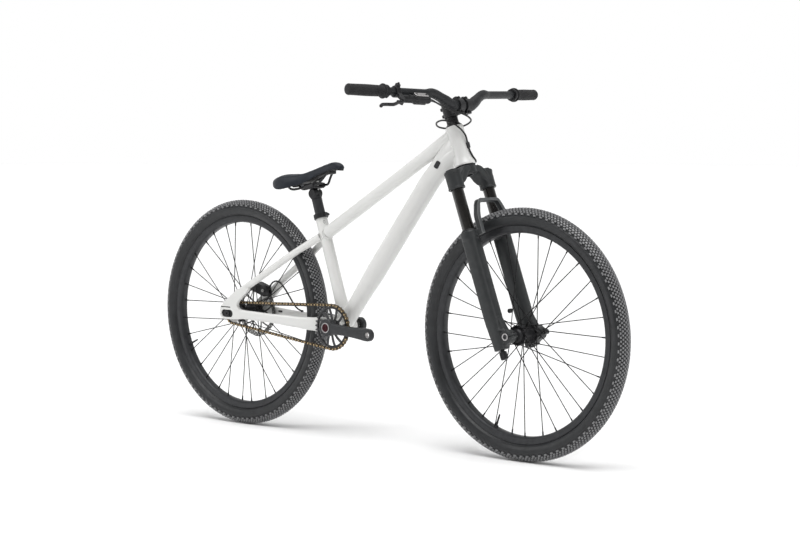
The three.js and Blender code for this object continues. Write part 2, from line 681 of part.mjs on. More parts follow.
// Half the spokes of each flange lean forward and half back, each crossing three others
function spokeSolids(flangePlace, flangeRadius) {
  const { radius, hubSide, rimSide, rimPlace, holeInset } = spoke;
  const perFlange = 16;
  const turnStep = (2 * Math.PI) / perFlange;
  const crossShare = 2.75;
  const rimEnd = rimInner * Math.cos(Math.PI / wheelSides) - seam;
  const hubEnd = flangeRadius - holeInset;
  return Array.from({ length: perFlange }, (_, index) => {
    const lean = index % 2 === 0 ? 1 : -1;
    const side = Math.sign(flangePlace);
    const hubTurn = index * turnStep + (side > 0 ? turnStep / 2 : 0);
    const rimTurn = hubTurn + lean * crossShare * turnStep;
    const ends = [
      [hubEnd, hubTurn, flangePlace + lean * hubSide], [rimEnd, rimTurn, side * rimPlace + lean * rimSide],
    ];
    const line = ends.map(([size, turn, y]) => new THREE.Vector3(size * Math.cos(turn), y, size * Math.sin(turn)));
    return sweptTube(new THREE.LineCurve3(...line), [[0, radius, radius], [1, radius, radius]], spokeSides);
  });
}

function hubBody(hub, rightPlace, leftPlace, rightEnd, leftEnd) {
  const { shellRadius, flangeRadius, flangeWall, endRadius, bore, discRadius, discPlace, discWall } = hub;
  const half = flangeWall / 2;
  return spun([
    [bore, -rightEnd], [endRadius, -rightEnd], [endRadius, -rightPlace - half], [flangeRadius, -rightPlace - half],
    [flangeRadius, half - rightPlace], [shellRadius, half - rightPlace], [shellRadius, leftPlace - half],
    [flangeRadius, leftPlace - half], [flangeRadius, leftPlace + half], [endRadius, leftPlace + half],
    [endRadius, discPlace - discWall / 2], [discRadius, discPlace - discWall / 2],
    [discRadius, discPlace + discWall / 2], [endRadius, discPlace + discWall / 2], [endRadius, leftEnd],
    [bore, leftEnd], [bore, -rightEnd],
  ]);
}

function addWheels() {
  const { rightFlange, leftFlange, discWall } = rearHub;
  const rearDisc = { ...rearHub, discPlace: rearHubLeft - discWall / 2 - seam };
  const rearBody = hubBody(rearDisc, rightFlange, leftFlange, rearHubRight, rearHubLeft);
  const rearSpokes = [-rightFlange, leftFlange].flatMap((place) => spokeSolids(place, rearHub.flangeRadius));
  piece(rearWheel, 'rear_hub', joined(rearBody, ...rearSpokes), finish.blackMetal());
  piece(rearWheel, 'rear_rim', rimSolid(), finish.blackMetal());
  piece(rearWheel, 'rear_tyre', tyreSolid(), finish.rubber());
  const { flangePlace, flangeRadius } = frontHub;
  const frontBody = hubBody(frontHub, flangePlace, flangePlace, frontHubEnd, frontHubEnd);
  const frontSpokes = [-flangePlace, flangePlace].flatMap((place) => spokeSolids(place, flangeRadius));
  piece(frontWheel, 'front_hub', joined(frontBody, ...frontSpokes), finish.blackMetal());
  piece(frontWheel, 'front_rim', rimSolid(), finish.blackMetal());
  piece(frontWheel, 'front_tyre', tyreSolid(), finish.rubber());
}

function addRearAxle() {
  const { radius, shoulderRadius, headRadius, headDepth, keyRadius, keyDepth } = rearAxle;
  const headFace = dropout.inner + dropout.wall - dropout.slotDepth + seam;
  const endFace = headFace + headDepth;
  const shoulder = dropout.inner - seam;
  const cogSide = sprocket.cogOuter + runningGap;
  const discSide = rearHubLeft + runningGap;
  piece(rearWheel, 'rear_axle', spun([
    [0, keyDepth - endFace], [keyRadius, keyDepth - endFace], [keyRadius, -endFace], [headRadius, -endFace],
    [headRadius, -headFace], [radius, -headFace], [radius, -shoulder], [shoulderRadius, -shoulder],
    [shoulderRadius, -cogSide], [radius, -cogSide], [radius, discSide], [shoulderRadius, discSide],
    [shoulderRadius, shoulder], [radius, shoulder], [radius, headFace], [headRadius, headFace],
    [headRadius, endFace], [keyRadius, endFace], [keyRadius, endFace - keyDepth], [0, endFace - keyDepth],
  ]), finish.castGrey());
}

// Rear brake
function rotorSolid() {
  const { radius, trackInner, wall, hubRadius, bore, arms, armHalf, armShift, vents, vent } = rotor;
  const middle = (radius + trackInner) / 2;
  const holes = Array.from({ length: vents }, (_, index) => {
    const turn = ((index + 0.5) / vents) * 2 * Math.PI;
    return circle(vent, ventSides, middle * Math.cos(turn), middle * Math.sin(turn));
  });
  const track = plate(circle(radius, discSides), -wall / 2, wall / 2, [circle(trackInner, ringSides), ...holes]);
  const hub = plate(circle(hubRadius, roundSides), -wall / 2, wall / 2, [circle(bore, smallSides)]);
  const armLength = trackInner - hubRadius + 2 * wall;
  const arm = box(armLength, wall, 2 * armHalf, new THREE.Vector3(hubRadius - wall + armLength / 2, 0, armShift));
  const bars = Array.from({ length: arms }, (_, index) => arm.rotate([0, (360 * index) / arms, 0]));
  return joined(track, hub, ...bars);
}

// A solid made level at the origin, brought to the caliper's place and lean
function atCaliper(solid) {
  const { angle, reach } = caliper;
  const lean = Math.PI / 2 - radians(angle);
  const matrix = new THREE.Matrix4().makeRotationY(lean);
  const offset = new THREE.Vector3(reach * Math.sin(lean), rotor.place, reach * Math.cos(lean));
  matrix.setPosition(offset.add(rearAxlePoint));
  return solid.transform(matrix.toArray());
}

function addRearBrake() {
  const { long, tall, wide, slotWide, slotDepth, padLong, padTall, padWall, padGap } = caliper;
  const leftFace = mountPost.face - seam - rotor.place;
  const body = box(long, wide, tall, new THREE.Vector3(0, leftFace - wide / 2, 0));
  const shape = [
    [-long / 2, -tall / 2], [-long / 2, tall / 6], [-long / 4, tall / 2], [long / 4, tall / 2], [long / 2, tall / 6],
    [long / 2, -tall / 2],
  ];
  const rounded = plate(shape, leftFace - wide, leftFace);
  const slot = box(long + overrun, slotWide, 2 * slotDepth, new THREE.Vector3(0, 0, -tall / 2));
  piece(bike, 'caliper', atCaliper(body.intersect(rounded).subtract(slot)), finish.blackMetal());
  const padMiddle = rotor.radius - (rotor.radius - rotor.trackInner) / 2 - caliper.reach;
  for (const [name, side] of [['inner', -1], ['outer', 1]]) {
    const away = side * (rotor.wall / 2 + padGap + padWall / 2);
    const pad = box(padLong, padWall, padTall, new THREE.Vector3(0, away, padMiddle));
    piece(bike, `brake_pad_${name}`, atCaliper(pad), finish.castGrey());
  }
  piece(rearWheel, 'rear_rotor', moved(rotorSolid(), 0, rotor.place, 0), finish.steel());
}

// Fork
function onLegs(solid) {
  const { spread, forward } = stanchion;
  return [-1, 1].map((side) => moved(solid, forward, side * spread, 0));
}

function legProfile() {
  const { radius, collarRadius, collarHeight, endRadius, endHeight, webTall } = lowers;
  return [
    [0, endHeight], [endRadius, endHeight], [radius, webTall], [radius, lowersTop - collarHeight - overrun],
    [collarRadius, lowersTop - collarHeight], [collarRadius, lowersTop], [0, lowersTop],
  ];
}

function archSolid() {
  const { back, front, tyreRoom, topHalf, footHalf, band, shoulderCut, footDrop } = arch;
  const top = tyre.outerRadius + tyreRoom;
  const foot = lowersTop - footDrop;
  const shoulder = (foot + top) / 2;
  const outer = [[footHalf, foot], [footHalf - shoulderCut, shoulder], [topHalf, top]];
  const inner = [
    [footHalf - band, foot], [footHalf - band - shoulderCut, shoulder - band / 2], [topHalf - band, top - band],
  ];
  const mirrored = ([y, z]) => [-y, z];
  const outline = [...outer, ...outer.map(mirrored).reverse(), ...inner.map(mirrored), ...inner.slice().reverse()];
  return plate(outline, -front, -back).rotate([0, 0, 90]);
}

// The pads where the arch runs into the legs
function archPad(side) {
  const { front, footHalf, band, footDrop, padTall, padWide } = arch;
  const { forward } = stanchion;
  const height = lowersTop - footDrop + padTall / 4;
  const middle = new THREE.Vector3((front + forward) / 2, side * (footHalf - band / 2), height);
  return box(front - forward, padWide, padTall, middle);
}

// The barrel round the axle and the web that ties it to its leg
function axleBoss(side) {
  const { bossRadius, bossInner, bossOuter, webTall, endHeight, radius } = lowers;
  const { forward } = stanchion;
  const [from, to] = side < 0 ? [-bossOuter, -bossInner] : [bossInner, bossOuter];
  const web = [
    [forward, endHeight], [forward + radius, endHeight], [forkOffset, seam - bossRadius],
    [forkOffset + bossRadius - seam, 0], [forkOffset, bossRadius - seam], [forward + radius - seam, webTall],
    [forward, webTall],
  ];
  return moved(disc(bossRadius, from, to), forkOffset, 0, 0).add(plate(web, from + seam, to - seam));
}

// The ears that squeeze the barrel on the axle
function pinchEars(side) {
  const [from, to] = side < 0 ? [-pinch.outer, -pinch.inner] : [pinch.inner, pinch.outer];
  const middle = new THREE.Vector3(forkOffset + lowers.bossRadius, (from + to) / 2, -pinch.tall / 4);
  return box(pinch.slitDepth, to - from, pinch.tall, middle);
}

// The tab on the left leg for a disc brake
function discTabSolid() {
  const { reach, tall, wide, low, high } = discTab;
  const { spread, forward } = stanchion;
  const outline = [
    [forward, low], [forward - reach / 2, high - 2 * tall], [forward - reach, high - tall], [forward - reach, high],
    [forward, high + tall],
  ];
  return plate(outline, spread - wide / 2, spread + wide / 2);
}

function lowersSolid() {
  const { bore, floor, bossOuter } = lowers;
  const parts = [-1, 1].flatMap((side) => [axleBoss(side), archPad(side), pinchEars(side)]);
  const whole = joined(...onLegs(spunUp(legProfile())), ...parts, discTabSolid(), archSolid());
  const slitMiddle = new THREE.Vector3(forkOffset + pinch.reach / 2, 0, -pinch.tall / 4);
  const slits = box(pinch.reach, 2 * bossOuter + overrun, pinch.slit, slitMiddle);
  const bores = onLegs(post(bore, floor, forkLength));
  const axleHole = moved(disc(frontAxle.radius + seam, -bossOuter - overrun, bossOuter + overrun), forkOffset, 0, 0);
  return [...bores, axleHole, slits].reduce((solid, cut) => solid.subtract(cut), whole);
}

function crownSolid() {
  const { socketRadius, neckRadius, neckHeight, bridgeTall, bridgeDeep } = crown;
  const { spread, forward } = stanchion;
  const sockets = onLegs(post(socketRadius, socketBase, socketTop));
  const neck = post(neckRadius, crownTop - neckHeight, crownTop);
  const armTop = socketTop - bridgeTall / 4;
  const armLow = socketBase + bridgeTall / 2;
  const middleLow = crownTop - neckHeight;
  const capSide = spread - crownCap.radius - seam;
  const outline = [
    [-spread, armLow], [-neckRadius, middleLow], [neckRadius, middleLow], [spread, armLow], [spread, armTop],
    [capSide, socketTop], [neckRadius, crownTop - seam], [-neckRadius, crownTop - seam], [-capSide, socketTop],
    [-spread, armTop],
  ];
  const bridge = plate(outline, -forward - bridgeDeep, bridgeDeep - forward).rotate([0, 0, 90]);
  const holes = onLegs(post(stanchion.radius + seam, socketBase - overrun, socketTop + overrun));
  const hole = post(steerer.baseRadius + seam, 0, crownTop + overrun);
  return [...holes, hole].reduce((solid, cut) => solid.subtract(cut), joined(...sockets, neck, bridge));
}

function steererSolid() {
  const { radius, baseRadius, wall, taperRise, taperHeight, sink } = steerer;
  const top = stemFoot() + stem.height - 2 * wall;
  const foot = crownTop - sink;
  const taperFoot = forkLength + taperRise;
  const outer = [[baseRadius, foot], [baseRadius, taperFoot], [radius, taperFoot + taperHeight], [radius, top]];
  const inner = outer.map(([size, place]) => [size - wall, place]).reverse();
  return spunUp([...outer, ...inner, outer[0]]);
}

function addFork() {
  piece(steering, 'fork_crown', crownSolid(), finish.castGrey());
  piece(steering, 'steerer', steererSolid(), finish.castGrey());
  const { radius, wall, insert, capRoom, spread, forward } = stanchion;
  for (const [name, side] of [['right', -1], ['left', 1]]) {
    const tube = pipe(radius - wall, radius, lowersTop - insert, socketTop - capRoom);
    piece(steering, `stanchion_${name}`, moved(tube, forward, side * spread, 0), finish.blackMetal());
    const plugRadius = radius - wall - seam;
    const capFoot = socketTop + seam;
    const cap = spunUp([
      [0, capFoot - crownCap.plug], [plugRadius, capFoot - crownCap.plug], [plugRadius, capFoot],
      [crownCap.radius, capFoot], [crownCap.radius - seam, capFoot + crownCap.height], [0, capFoot + crownCap.height],
    ]);
    piece(steering, `fork_cap_${name}`, moved(cap, forward, side * spread, 0), finish.blackMetal());
  }
  piece(steering, 'fork_lowers', lowersSolid(), finish.castGrey());
  const { end, keyRadius, keyDepth } = frontAxle;
  const axle = spun([
    [0, keyDepth - end], [keyRadius, keyDepth - end], [keyRadius, -end], [frontAxle.radius, -end],
    [frontAxle.radius, end], [0, end],
  ]);
  piece(steering, 'front_axle', moved(axle, forkOffset, 0, 0), finish.castGrey());
  const neckFoot = lowers.endHeight - seam;
  const dial = spunUp([
    [0, neckFoot], [knob.neckRadius, neckFoot], [knob.neckRadius, neckFoot - knob.neck],
    [knob.radius, neckFoot - knob.neck], [knob.radius, neckFoot - knob.length], [0, neckFoot - knob.length],
  ]);
  piece(steering, 'rebound_knob', moved(dial, forward, -spread, 0), finish.blackMetal());
}

// Cockpit
function coverFoot() {
  return headTop + runningGap;
}

function stemFoot() {
  return coverFoot() + cover.height + spacer.height + 2 * seam;
}

function barBore() {
  const half = stem.clampHalf + overrun;
  const hole = disc(bar.clampRadius + runningGap, -half, half, fineSides);
  return moved(hole, stem.reach, 0, stemFoot() + stem.clampRise);
}

function clampBody() {
  const { reach, clampRadius, clampHalf, clampRise, lugPlace, lugHalf, lugRise, lugDepth } = stem;
  const centre = stemFoot() + clampRise;
  const barrel = moved(disc(clampRadius, -clampHalf, clampHalf), reach, 0, centre);
  const lugs = [-lugPlace, lugPlace].flatMap((place) => [-1, 1].map((up) => box(
    2 * lugDepth, 2 * lugHalf, lugRise, new THREE.Vector3(reach, place, centre + up * (clampRadius + seam)),
  )));
  return joined(barrel, ...lugs).subtract(barBore());
}

function addStem() {
  const { height, radius, reach, neckHalf, neckTall, slit, window, capHeight, capRadius, clampRise } = stem;
  const foot = stemFoot();
  const centre = foot + clampRise;
  const split = (from, to) => box(
    to - from, 2 * bar.bendHalf, 2 * height, new THREE.Vector3((from + to) / 2, 0, centre),
  );
  const body = post(radius, foot, foot + height);
  const neck = box(reach, 2 * neckHalf, 2 * neckTall, new THREE.Vector3(reach / 2, 0, centre));
  const back = clampBody().add(neck.subtract(barBore())).intersect(split(-reach, reach - slit / 2));
  const bore = post(steerer.radius + seam, foot - overrun, foot + height + overrun);
  piece(steering, 'stem', body.add(back).subtract(bore), finish.blackMetal());
  const front = clampBody().intersect(split(reach + slit / 2, 2 * reach));
  const opening = box(2 * reach, window, stem.clampRadius, new THREE.Vector3(2 * reach, 0, centre));
  piece(steering, 'stem_faceplate', front.subtract(opening), finish.blackMetal());
  const capFoot = foot + height + seam;
  piece(steering, 'top_cap', post(capRadius, capFoot, capFoot + capHeight), finish.blackMetal());
  const inner = steerer.radius + seam;
  const low = coverFoot();
  piece(steering, 'headset_cover', spunUp([
    [inner, low], [cover.baseRadius, low], [cover.topRadius, low + cover.height], [inner, low + cover.height],
    [inner, low],
  ]), finish.blackMetal());
  const ringFoot = low + cover.height + seam;
  piece(steering, 'spacer', pipe(inner, spacer.radius, ringFoot, ringFoot + spacer.height), finish.blackMetal());
}

// Points of the bar's middle line, from the rider's right to the left
function barPoints() {
  const { flatHalf, bendHalf, endHalf, rise, endRise, endBack } = bar;
  const height = stemFoot() + stem.clampRise;
  const at = (share) => new THREE.Vector3(
    stem.reach - endBack * share, bendHalf + (endHalf - bendHalf) * share, height + rise + (endRise - rise) * share,
  );
  const shares = [0, 0.12, 0.4, 0.7, 1];
  const flat = [0, stem.clampHalf, flatHalf].map((place) => new THREE.Vector3(stem.reach, place, height));
  const half = [...flat, ...shares.map(at)];
  const other = half.slice(1).map((point) => point.clone().setY(-point.y)).reverse();
  return [...other, ...half];
}

function barSolid() {
  const { clampRadius, middleRadius, gripRadius, flatHalf, wall } = bar;
  const curve = new THREE.CatmullRomCurve3(barPoints());
  const middleShare = 0.5;
  const clampShares = [0, flatHalf / curve.getLength(), 0.075];
  const bendShares = [0.11, 0.145];
  const gripShares = [0.175, 0.3, 0.5];
  const zones = [[clampShares, clampRadius], [bendShares, middleRadius], [gripShares, gripRadius]];
  const half = zones.flatMap(([shares, radius]) => shares.map((share) => [share, radius]));
  const right = half.slice(1).map(([share, radius]) => [middleShare - share, radius, radius]).reverse();
  const left = half.map(([share, radius]) => [middleShare + share, radius, radius]);
  return hollowTube(curve, [...right, ...left], wall, roundSides, new THREE.Vector3(1, 0, 0));
}

function addBar() {
  piece(steering, 'handlebar', barSolid(), finish.blackMetal());
  const { length, radius, flangeRadius, flangeWidth, collarRadius, collarWidth, capDepth } = grip;
  const inner = bar.gripRadius + 2 * seam;
  const sleeve = spunUp([
    [0, -capDepth - seam], [radius - capDepth, -capDepth - seam], [radius, -seam],
    [radius, length - flangeWidth - collarWidth], [flangeRadius, length - flangeWidth - collarWidth],
    [flangeRadius, length - collarWidth], [collarRadius, length - collarWidth], [collarRadius, length],
    [inner, length], [inner, -seam], [0, -seam],
  ]);
  for (const [name, side] of [['right', -1], ['left', 1]]) {
    const mesh = piece(steering, `grip_${name}`, sleeve, finish.rubber());
    const points = barPoints();
    const [end, next] = side > 0 ? [points.at(-1), points.at(-2)] : [points[0], points[1]];
    mesh.position.copy(end);
    mesh.quaternion.setFromUnitVectors(upward, next.clone().sub(end).normalize());
  }
}

// The brake lever's own frame: X away from the bar, Y inboard along it
const leverGroup = new THREE.Group();
steering.add(leverGroup);

function placeLeverGroup() {
  const points = barPoints();
  const [end, next] = [points[0], points[1]];
  const along = next.clone().sub(end).normalize();
  const travel = (grip.length + lever.gripGap) / along.y;
  const aim = radians(lever.aim);
  const away = new THREE.Vector3(Math.cos(aim), 0, -Math.sin(aim));
  const outward = away.addScaledVector(along, -away.dot(along)).normalize();
  const across = new THREE.Vector3().crossVectors(outward, along);
  leverGroup.position.copy(end).addScaledVector(along, travel);
  leverGroup.quaternion.setFromRotationMatrix(new THREE.Matrix4().makeBasis(outward, along, across));
}

// The blade's route as shares of its reach outward, of its hook and of its length
const bladeShares = [[0, 0, 0], [0.35, 0, 0.2], [0.9, 0, 0.45], [1, 0, 0.75], [1, 0.3, 0.93], [1, 1, 1]];

function bladeSolid() {
  const { bladeRoot, bladeTip, bladeLength, bladeOut, bladeHook, bladeWide } = lever;
  const route = bladeShares.map(([outShare, hookShare, lengthShare]) => new THREE.Vector3(
    bladeOut * outShare + bladeHook * hookShare, -bladeLength * lengthShare, 0,
  ));
  const stationShares = [0, 0.2, 0.4, 0.6, 0.8, 1];
  const stations = stationShares.map((share) => [share, bladeRoot + (bladeTip - bladeRoot) * share, bladeWide]);
  return sweptTube(new THREE.CatmullRomCurve3(route), stations, cordSides, bladePower, upward);
}

// One of the two ears that hold the lever's pin
function earSolid(side) {
  const { bodyDrop, bodyRadius, pivotDrop, pivotPlace, earHalf, earWall, earRadius } = lever;
  const height = side * (earHalf - earWall / 2);
  const long = pivotDrop - bodyDrop + earRadius;
  const arm = box(long, 2 * earRadius, earWall, new THREE.Vector3(bodyDrop + long / 2, -pivotPlace, height));
  const bridgeMiddle = new THREE.Vector3(bodyDrop, -pivotPlace / 2, height);
  return arm.add(box(bodyRadius, 2 * earRadius + pivotPlace, earWall, bridgeMiddle));
}

function addLever() {
  placeLeverGroup();
  const {
    clampHalf, clampRadius, bodyDrop, bodyRadius, bodyInboard, bodyOutboard, pinHole, neckWide, pivotDrop, pivotPlace,
    earHalf, earRadius, bladeWide, tankRise, tankHalf,
  } = lever;
  const clampRing = washer(bar.gripRadius + seam, clampRadius, -clampHalf, clampHalf, fineSides);
  const neckRoot = clampRadius - (clampRadius - bar.gripRadius) / 2;
  const neckMiddle = new THREE.Vector3((bodyDrop + neckRoot) / 2, 0, 0);
  const neck = box(bodyDrop - neckRoot, 2 * clampHalf, 2 * neckWide, neckMiddle);
  const cylinder = moved(disc(bodyRadius, neckWide - bodyOutboard, bodyInboard, leverSides), bodyDrop, 0, 0);
  const tankMiddle = new THREE.Vector3(bodyDrop - tankRise / 2, bodyInboard - tankHalf - bodyRadius, -seam);
  const tank = box(2 * bodyRadius - seam, 2 * tankHalf, 2 * bodyRadius + tankRise, tankMiddle);
  const hole = moved(post(pinHole, -earHalf - overrun, earHalf + overrun, smallSides), pivotDrop, -pivotPlace, 0);
  const body = joined(clampRing, neck, cylinder, tank, earSolid(-1), earSolid(1)).subtract(hole);
  piece(leverGroup, 'brake_master', body, finish.blackMetal());
  const eye = post(earRadius - seam, -bladeWide, bladeWide);
  const pin = post(pinHole - seam, -earHalf, earHalf, smallSides);
  const blade = moved(joined(eye, pin, bladeSolid()), pivotDrop, -pivotPlace, 0);
  piece(leverGroup, 'brake_lever', blade, finish.blackMetal());
}

// Cranks and chain
const drive = new THREE.Group();
drive.position.copy(bracketPoint);
bike.add(drive);

function armSolid(side) {
  const {
    length, angle, bossRadius, bossFace, leftBossRadius, leftBossDepth, eyeFace, eyeRadius, eyeWide, bodyTall,
    waistCut, pedalBore, spindleRadius,
  } = crank;
  const bossInner = side < 0 ? chain.line + sprocket.wall / 2 + seam : bossFace - leftBossDepth;
  const ringShares = [0, 0.3, 0.7, 1];
  const rings = ringShares.map((share) => {
    const outerFace = bossFace + (eyeFace - bossFace) * share;
    const tall = share > 0 && share < 1 ? bodyTall - waistCut : bodyTall;
    const centre = new THREE.Vector3(length * share, eyeWide / 2 - outerFace, 0);
    return ovalRing(centre, leftward, upward, eyeWide / 2, tall, smallSides, armPower);
  });
  const eye = moved(disc(eyeRadius, -eyeFace, eyeWide - eyeFace), length, 0, 0);
  const boss = disc(side < 0 ? bossRadius : leftBossRadius, -bossFace, -bossInner);
  const hole = moved(disc(pedalBore, -eyeFace - overrun, eyeWide - eyeFace + overrun), length, 0, 0);
  const bore = disc(spindleRadius + seam, -bossFace - overrun, 0);
  const arm = joined(loft(rings), eye, boss).subtract(hole).subtract(bore);
  return side < 0 ? arm.rotate([0, -angle, 0]) : arm.rotate([0, 180 - angle, 0]).mirror([0, 1, 0]);
}

function addCranks() {
  const { spindleRadius, spindleEnd, bossFace, boltDish, keyRadius } = crank;
  piece(drive, 'spindle', disc(spindleRadius, -spindleEnd, bossFace - boltDish), finish.steel());
  piece(drive, 'crank_arm_right', armSolid(-1), finish.castGrey());
  piece(drive, 'crank_arm_left', armSolid(1), finish.castGrey());
  const [from, to] = [-spindleEnd - seam, boltDish - bossFace];
  const bolt = spun([
    [0, from], [spindleRadius, from], [spindleRadius, to], [keyRadius, to], [keyRadius, to + boltDish],
    [0, to + boltDish],
  ]);
  piece(drive, 'crank_bolt', bolt, finish.blackMetal());
}

function pitchRadius(teeth) {
  return chain.pitch / 2 / Math.sin(Math.PI / teeth);
}

// A toothed outline: gullets where the chain pins sit and a tooth between each pair
function toothedOutline(teeth, firstPin) {
  const radius = pitchRadius(teeth);
  const gullet = radius - chain.roller - sprocket.seatGap;
  const tip = radius + sprocket.toothRise;
  const shares = [[-0.2, gullet], [0.2, gullet], [0.42, tip], [0.58, tip]];
  return Array.from({ length: teeth }, (_, tooth) => shares.map(([share, size]) => {
    const turn = firstPin + ((tooth + share) / teeth) * 2 * Math.PI;
    return [size * Math.cos(turn), size * Math.sin(turn)];
  })).flat();
}

// The chain as a belt: angles of its tangent points and the number of links on each stretch
function chainBelt() {
  const ringRadius = pitchRadius(sprocket.ringTeeth);
  const cogRadius = pitchRadius(sprocket.cogTeeth);
  const span = rearAxlePoint.clone().sub(bracketPoint);
  const reach = Math.hypot(span.x, span.z);
  const spread = Math.acos((ringRadius - cogRadius) / reach);
  const toCog = Math.atan2(span.z, span.x);
  const ringLinks = (2 * Math.PI - 2 * spread) / ((2 * Math.PI) / sprocket.ringTeeth);
  const cogLinks = (2 * spread) / ((2 * Math.PI) / sprocket.cogTeeth);
  const runLength = reach * Math.sin(spread);
  const links = 2 * Math.round((ringLinks + cogLinks) / 2 + runLength / chain.pitch);
  const runLinks = (links - ringLinks - cogLinks) / 2;
  const [lowTurn, highTurn] = [toCog + spread, toCog - spread];
  return { ringRadius, cogRadius, lowTurn, highTurn, ringLinks, cogLinks, runLinks, links };
}

// Where the chain is after a number of links, and the direction that points out of its loop
function chainPlace(link) {
  const { ringRadius, cogRadius, lowTurn, highTurn, ringLinks, cogLinks, runLinks } = chainBelt();
  const at = (centre, radius, turn) => new THREE.Vector2(
    centre.x + radius * Math.cos(turn), centre.z + radius * Math.sin(turn),
  );
  const [ringEnd, highEnd, cogEnd] = [ringLinks, ringLinks + runLinks, ringLinks + runLinks + cogLinks];
  if (link <= ringEnd) {
    const turn = lowTurn + (link / sprocket.ringTeeth) * 2 * Math.PI;
    return { point: at(bracketPoint, ringRadius, turn), turn };
  }
  if (link <= highEnd) {
    const share = (link - ringEnd) / runLinks;
    const point = at(bracketPoint, ringRadius, highTurn).lerp(at(rearAxlePoint, cogRadius, highTurn), share);
    return { point, turn: highTurn };
  }
  if (link <= cogEnd) {
    const turn = highTurn + ((link - highEnd) / sprocket.cogTeeth) * 2 * Math.PI;
    return { point: at(rearAxlePoint, cogRadius, turn), turn };
  }
  const share = (link - cogEnd) / runLinks;
  const point = at(rearAxlePoint, cogRadius, lowTurn).lerp(at(bracketPoint, ringRadius, lowTurn), share);
  return { point, turn: lowTurn };
}

// The loop's outline, moved out or in from the pins; the straight runs need their ends only
function chainOutline(shift) {
  const { ringLinks, cogLinks, runLinks } = chainBelt();
  const cogStart = ringLinks + runLinks;
  const onRing = Array.from({ length: Math.ceil(ringLinks) }, (_, link) => link);
  const onCog = Array.from({ length: Math.ceil(cogLinks) }, (_, link) => cogStart + link);
  return [...onRing, ringLinks, ...onCog, cogStart + cogLinks].map((link) => {
    const { point, turn } = chainPlace(link);
    return [point.x + shift * Math.cos(turn), point.y + shift * Math.sin(turn)];
  });
}

function addChain() {
  const { line, roller, plateHalf, innerHalf, outerHalf } = chain;
  const { links } = chainBelt();
  const [outline, inside] = [chainOutline(plateHalf), chainOutline(-plateHalf)];
  const band = (from, to) => plate(outline, from, to, [inside]);
  const pins = Array.from({ length: links }, (_, link) => {
    const { point, turn } = chainPlace(link);
    return plate(circle(roller, pinSides, point.x, point.y, turn), -innerHalf - seam, innerHalf + seam);
  });
  const solid = joined(band(-outerHalf, -innerHalf), band(innerHalf, outerHalf), ...pins);
  piece(bike, 'chain', moved(solid, 0, -line, 0), finish.chain());
}

function addSprockets() {
  const {
    wall, rimWall, hubRadius, arms, armHalf, cogHub, cogInner, cogOuter, ringTeeth, cogTeeth, ringInner,
  } = sprocket;
  const { lowTurn, highTurn, ringLinks, runLinks, ringRadius } = chainBelt();
  const rimOuter = ringRadius - chain.plateHalf - seam * 2;
  const opening = circle(ringInner, ringSides);
  const toothed = plate(toothedOutline(ringTeeth, lowTurn), -wall / 2, wall / 2, [opening]);
  const rim = plate(circle(rimOuter, ringSides), -rimWall / 2, rimWall / 2, [opening]);
  const hub = washer(crank.spindleRadius + seam, hubRadius, -wall / 2, wall / 2);
  const armLong = ringInner - hubRadius + wall;
  const bar = box(armLong, wall, 2 * armHalf, new THREE.Vector3(hubRadius - wall / 2 + armLong / 2, 0, 0));
  const bars = Array.from({ length: arms }, (_, index) => bar.rotate([0, (360 * index) / arms, 0]));
  piece(drive, 'chain_ring', moved(joined(toothed, rim, hub, ...bars), 0, -chain.line, 0), finish.blackMetal());
  const firstCogLink = Math.ceil(ringLinks + runLinks);
  const cogTurn = highTurn + ((firstCogLink - ringLinks - runLinks) / cogTeeth) * 2 * Math.PI;
  const cogHole = circle(rearHub.bore, roundSides);
  const cogPlate = plate(toothedOutline(cogTeeth, cogTurn), -wall / 2 - chain.line, wall / 2 - chain.line, [cogHole]);
  const driver = washer(rearHub.bore, cogHub, -cogOuter, -cogInner);
  piece(rearWheel, 'rear_cog', cogPlate.add(driver), finish.steel());
}

// Seat
const seatGroup = new THREE.Group();
const saddleGroup = new THREE.Group();
const headHeight = seatTube.length + seatPost.headRise;
seatGroup.position.copy(seatFoot);
seatGroup.rotation.y = -seatLean;
saddleGroup.position.copy(seatPoint(headHeight));
saddleGroup.rotation.y = -radians(saddle.tilt);
bike.add(seatGroup, saddleGroup);

function addSeatPost() {
  const { radius, insert, wall, headRadius, headHalf } = seatPost;
  const foot = seatTube.length - insert;
  const inside = radius - wall;
  const neck = headHeight - headRadius;
  const shaft = spunUp([
    [0, neck], [inside, neck - headRadius], [inside, foot], [radius, foot], [radius, headHeight - wall],
    [0, headHeight - wall],
  ]);
  const head = moved(disc(headRadius, -headHalf, headHalf), 0, 0, headHeight);
  piece(seatGroup, 'seat_post', shaft.add(head), finish.blackMetal());
}

// Half the saddle's width, its top and its thickness at shares of its length from tail to nose
const saddleShares = [
  [0, 0.72, 0.86, 0.8], [0.04, 0.86, 0.95, 1], [0.14, 1, 1, 1], [0.27, 0.93, 0.95, 1], [0.42, 0.6, 0.88, 0.9],
  [0.58, 0.38, 0.86, 0.8], [0.76, 0.31, 0.92, 0.78], [0.9, 0.27, 0.97, 0.78], [0.97, 0.21, 0.95, 0.68],
  [1, 0.12, 0.86, 0.42],
];

function saddleRing(widthShare, topShare, thickShare, place) {
  const { back, front, railRise, height, widest, thick } = saddle;
  const half = widest * widthShare;
  const top = railRise + height * topShare;
  const deep = thick * thickShare;
  const x = place * (front + back) - back;
  const upperShares = [1, 0.94, 0.8, 0.55, 0.25, -0.25, -0.55, -0.8, -0.94, -1];
  const crownShares = [0.3, 0.55, 0.8, 0.95, 1, 1, 0.95, 0.8, 0.55, 0.3];
  const upper = upperShares.map((share, index) => new THREE.Vector3(
    x, half * share, top - deep + deep * crownShares[index],
  ));
  const drawnShare = 0.84;
  const lower = [-1, 1].map((side) => new THREE.Vector3(x, side * half * drawnShare, top - deep));
  return [...upper, ...lower];
}

